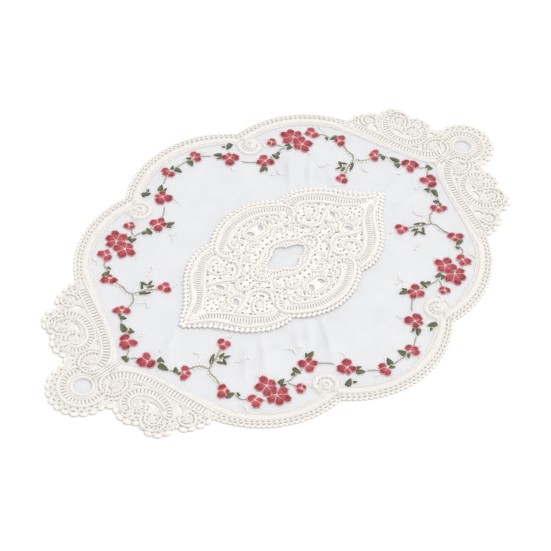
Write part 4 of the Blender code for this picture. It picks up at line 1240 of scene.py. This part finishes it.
def border_flat_lace():
    """The border's flat lace, with its slits, ladder slots and openings cut through."""
    outlines = [whole_round(border_outline(BORDER_TRIM)), whole_round(seam(0.0, 1.6))]
    for slits in LOBE_SLITS:
        for piece, run, signs in edge_runs(slits.off)[:2]:
            outlines += slits_along(mirrored(run, signs), slits, square=1.2)
    for slits, share in CREST_SLITS:
        for piece, run, signs in edge_runs(slits.off)[2:]:
            drawn_in = slits._replace(pitch=slits.pitch * (piece.radius - slits.off) / piece.radius)
            outlines += slits_along(mirrored(run, signs), drawn_in, share=share)
    outlines += hole_outlines(CREST_HOLES)
    outlines += [oval(EYELET.x * sx, 0.0, EYELET.long, EYELET.wide, 0.0, 28) for sx in (1, -1)]
    outlines += ladder_slots(CREST_LADDERS) + slits_along(ring_path(), RING_SLITS, math.pi / 2, 1.5)
    outlines += cord_slits(CREST_CORDS, CORD_SLITS)
    radius, start, stop = SCROLL_GROOVE
    outlines += slits_along(mirrored(arc(SCROLL._replace(radius=radius), start, stop, 0.8)), GROOVE_SLITS)
    return add_piece("border_flat_lace", [flat_lace(outlines, BORDER_WEB)], "lace_net",
                     "lace_border")


def seam_stitching():
    """The thin line of stitches that holds the organza to the border."""
    line = whole_round(seam(-SEAM_LINE, 1.2))
    mesh = row(laid([line + line[:1]], TOP + SEAM_RISE), "seam_thread", SEAM_STITCH)
    return add_piece("seam_stitching", [mesh], "seam_thread")


def border_picots():
    """The scalloped edge: one bead to a picot, small round the lobes and large round the crest."""
    paths = {PICOT: [], CREST_PICOT: []}
    for piece, run, signs in edge_runs(PICOT_IN):
        paths[piece.picot] += laid(mirrored(run, signs), (LOW + TOP) / 2 + PICOT_RISE)
    meshes = [row(paths[bead.pitch], "lace_knots", bead) for bead in (SMALL_PICOT, LARGE_PICOT)]
    return add_piece("border_picots", meshes, "lace_knots")


def lobe_paths(depth, above, width, tail=()):
    """Cords that follow the lobes, drawn in by depth: the middle ones whole, the end ones by quarter.

    The tail is more of the end lobe's path, past the place where the crest begins.
    """
    middle, end = inset(MIDDLE_LOBE, depth), inset(END_LOBE, depth)
    corner = crossing(middle, end)
    stop = bearing(middle, corner)
    copies = mirrored(arc(middle, 180 - stop, stop, 1.5), LONG_SIDES)
    copies += mirrored(arc(end, bearing(end, corner), LOBE_STOP, 1.5) + list(tail))
    return laid(copies, TOP + above, width)


def beside_crest_seam(off):
    return [(x + off, y) for x, y in smooth(CREST_SEAM[:-1] + STRIP_END, 1.5)]


def border_satin():
    """The broad satin band round the lobes, the smooth strip beside the crest, and the scroll's rim."""
    paths = lobe_paths(*SATIN_BAND, tail=beside_crest_seam(STRIP_OFF)[2:])
    radius, width = SCROLL_RIM
    rim = arc(SCROLL._replace(radius=radius), *SCROLL_RIM_ENDS, 1.0)
    paths += laid(mirrored(rim), TOP + FLAT_RISE, width)
    return add_piece("border_satin_bands", [cords(paths, "lace_satin", SATIN_YARN)], "lace_satin")


def border_cords():
    """Cords round the lobes and all the scrolls of the crest."""
    paths = [path for cord in LOBE_CORDS for path in lobe_paths(*cord)]
    paths += lobe_paths(*SEAM_CORD, tail=beside_crest_seam(RIM_OFF)[1:])
    for cord in CREST_CORDS:
        paths += laid(mirrored(smooth(cord.points)), TOP + CORD_RISE, cord.width + 0.3)
    for curl in CREST_CURLS:
        paths += laid(mirrored(arc(curl, curl.start, curl.stop, 0.8, curl.end)), TOP + CURL_RISE, curl.width)
    for ladder in CREST_LADDERS:
        for by, width in ladder.rails:
            paths += laid(mirrored(beside(smooth(ladder.points, 1.2), by)), TOP, width)
    for radius, width, turn in RING_CORDS:
        paths += laid(mirrored(arc(RING_LADDER._replace(radius=radius), turn, -turn, 0.9), ENDS), TOP, width)
    depth, above, width = CREST_EDGE_CORD
    for piece, run, signs in edge_runs(depth)[2:]:
        paths += laid(mirrored(run, signs), TOP + above, width)
    return add_piece("border_cords", [cords(paths, "lace_cord", BORDER_YARN)], "lace_cord")


def border_bars():
    """Raised bars between the slots of every ladder, and between the lobes' openings."""
    meshes = ladder_bars(CREST_LADDERS, "lace_knots", TOP + BAR_RISE)
    meshes.append(row(laid(ring_path(), TOP + BAR_RISE), "lace_knots", RING_BAR))
    for slits, bar in zip(LOBE_SLITS, LOBE_BARS):
        copies = [copy for piece, run, signs in edge_runs(slits.off)[:2] for copy in mirrored(run, signs)]
        meshes.append(row(laid(copies, TOP + FLAT_RISE), "lace_knots", bar))
    return add_piece("border_bars", meshes, "lace_knots")


def border_pads():
    """Domed satin pads inside the scrolls."""
    mesh = pads(CREST_PADS, "lace_padded", TOP + DOME_RISE, 0.9, 18, 14)
    return add_piece("border_satin_pads", [mesh], "lace_padded")


# ------------------------------------------------------------------ the medallion
def medallion_edge(depth):
    """One quarter of the medallion's edge, clockwise from its long side's middle to its point."""
    lobe = inset(MEDALLION_LOBE, depth)
    side = beside(smooth(MEDALLION_SIDE), -depth)
    return arc(lobe, 90.0, bearing(lobe, side[0]), 1.0)[:-1] + [p for p in side if p[1] > 0.2]


def medallion_outline():
    return whole_round(medallion_edge(PATCH_TRIM) + [(MEDALLION_TIP, 0.0)])


def centre_path(by, count=72):
    """The middle opening's rim, further out by so much; its ends are equal.

    It has four lobes: two ovals laid across each other.
    """
    points = []
    for i in range(count + 1):
        a = 2 * math.pi * i / count
        reach = max(part.long * part.wide / 2 / math.hypot(part.wide * math.cos(a), part.long * math.sin(a))
                    for part in CENTRE_OVALS) + by
        points.append((reach * math.cos(a), reach * math.sin(a)))
    return points


def scalloped_centre():
    """The middle opening, with a scalloped rim."""
    rim = []
    for i, (x, y) in enumerate(centre_path(0.0, 112)[:-1]):
        dent = 1 - CENTRE_SCALLOP * abs(math.sin(math.pi * i / 4)) / math.hypot(x, y)
        rim.append((x * dent, y * dent))
    return rim


def medallion_piece(name, meshes, finish, swap=None):
    """A piece of the medallion, sewn on a little askew."""
    for mesh in meshes:
        mesh.transform(Matrix.Rotation(MEDALLION_TURN, 4, "Z"))
    return add_piece(name, meshes, finish, swap)


def medallion_flat_lace():
    """The medallion's flat lace, with its slits, ladder slots and openings cut through."""
    outlines = [medallion_outline(), scalloped_centre()] + hole_outlines(MEDALLION_HOLES, HOLE_SHARE)
    outlines += ladder_slots(MEDALLION_LADDERS) + slits_along([centre_path(CENTRE_SLITS.off)], CENTRE_SLITS)
    outlines += slits_along(mirrored(medallion_edge(EDGE_SLITS.off)), EDGE_SLITS)
    outlines += cord_slits(MEDALLION_CORDS, PATCH_CORD_SLITS)
    return medallion_piece("medallion_flat_lace", [flat_lace(outlines, MEDALLION_WEB)], "patch_net",
                           "lace_medallion")


def medallion_work():
    """The medallion's pearls, cords, bars and pads."""
    edge = whole_round(medallion_edge(PEARL_IN) + [(PEARL_TIP, 0.0)])
    middle = (PATCH_LOW + PATCH_TOP) / 2
    pearls = row(laid([edge + edge[:1]], middle + PEARL_RISE), "patch_cord", PEARL)
    knots = row(laid([centre_path(CENTRE_KNOT_OFF)], middle + CENTRE_KNOT_RISE), "patch_cord", CENTRE_KNOT)
    paths = [path for cord in MEDALLION_CORDS
             for path in laid(all_round(smooth(cord.points)), PATCH_TOP + CORD_RISE, cord.width)]
    worked = cords(paths, "patch_cord", PATCH_YARN)
    steps = ladder_bars(MEDALLION_LADDERS, "patch_cord", PATCH_TOP + BAR_RISE)
    domes = pads(MEDALLION_PADS, "patch_padded", PATCH_TOP + FLAT_RISE, 1.0, 14, 10)
    return [medallion_piece("medallion_pearls", [pearls, knots], "patch_cord"),
            medallion_piece("medallion_cords", [worked], "patch_cord"),
            medallion_piece("medallion_bars", steps, "patch_cord"),
            medallion_piece("medallion_pads", [domes], "patch_padded")]


# ------------------------------------------------------------------ floor, light and camera
def camera_axes():
    """The picture's right, up and forward directions in the doily's frame, without roll."""
    ct, st = math.cos(CAMERA_TILT), math.sin(CAMERA_TILT)
    cz, sz = math.cos(CAMERA_TURN), math.sin(CAMERA_TURN)
    return Vector((cz, -sz, 0.0)), Vector((sz * ct, cz * ct, st)), Vector((sz * st, cz * st, -ct))


def add_camera():
    right, up, ahead = camera_axes()
    place = -(right * CAMERA_OFF[0] + up * CAMERA_OFF[1] + ahead * CAMERA_AWAY) * MM
    c, s = math.cos(CAMERA_ROLL), math.sin(CAMERA_ROLL)
    turn = Matrix((right * c + up * s, up * c - right * s, -ahead)).transposed()
    data = bpy.data.cameras.new("camera")
    data.sensor_width = SENSOR
    data.lens = FOCAL_PX / PX * SENSOR
    data.clip_start = 0.05
    camera = add_object("camera", data)
    camera.matrix_world = Matrix.Translation(place) @ turn.to_4x4()
    bpy.context.scene.camera = camera


def add_key_light():
    """An even soft light from the far right, like a large distant studio lamp."""
    right, up, ahead = camera_axes()
    flat_ahead = Vector((ahead.x, ahead.y, 0.0)).normalized()
    data = bpy.data.lights.new("key", "SUN")
    data.energy = KEY_STRENGTH
    data.angle = KEY_SPREAD
    lamp = add_object("key", data)
    lamp.location = right + flat_ahead * KEY_BACK + Vector((0.0, 0.0, KEY_UP))
    lamp.rotation_euler = (-lamp.location).to_track_quat("-Z", "Y").to_euler()


def add_room():
    """A plain pale floor and an even pale sky."""
    material, graph, shader, place = new_material("pale_floor", 0.8)
    shade = graph.mix(graph.noise(place, 0.004, 1.0), colour(241, 241, 241), colour(243, 243, 243))
    graph.tree.links.new(shade.socket, shader.inputs["Base Color"])
    mesh = grid_mesh("floor", (1, 1), (FLOOR_SIZE, FLOOR_SIZE))
    mesh.materials.append(material)
    add_object("floor", mesh)
    sky = bpy.data.worlds.new("sky")
    sky.use_nodes = True
    sky.node_tree.nodes["Background"].inputs["Color"].default_value = (1.0, 1.0, 1.0, 1.0)
    sky.node_tree.nodes["Background"].inputs["Strength"].default_value = SKY_STRENGTH
    bpy.context.scene.world = sky
    bpy.context.scene.view_settings.view_transform = "Standard"


# ------------------------------------------------------------------ the doily
def lay_sheet(outline, with_pieces):
    """Work out a sheet's width, depth and area from its plan's outline; nothing is done with them."""
    wide, deep = [2 * max(point[way] for point in outline) * MM for way in (0, 1)]
    twice = sum(a[0] * b[1] - b[0] * a[1] for a, b in zip(outline, outline[1:] + outline[:1]))
    abs(twice) / 2 * MM * MM


add_camera()
add_key_light()
add_room()
CORD, ROW, STITCHES = cord_tree(), row_tree(), stitch_tree()
MATERIALS = {"sheer_organza": organza_material("sheer_organza")}
MATERIALS.update({name: lace_material(name, lace) for name, lace in LACES.items()})
MATERIALS.update({name: silk_material(name, silk) for name, silk in SILKS.items()})
ground = organza_sheet()
sewn_to_ground = [eyelet_organza(), border_flat_lace(), seam_stitching(), border_picots(), border_satin(),
                  border_cords(), border_bars(), border_pads()]
medallion = medallion_flat_lace()
sewn_to_medallion = medallion_work()
lay_sheet(ground_outline(), sewn_to_ground + embroidery())
lay_sheet(medallion_outline(), sewn_to_medallion)
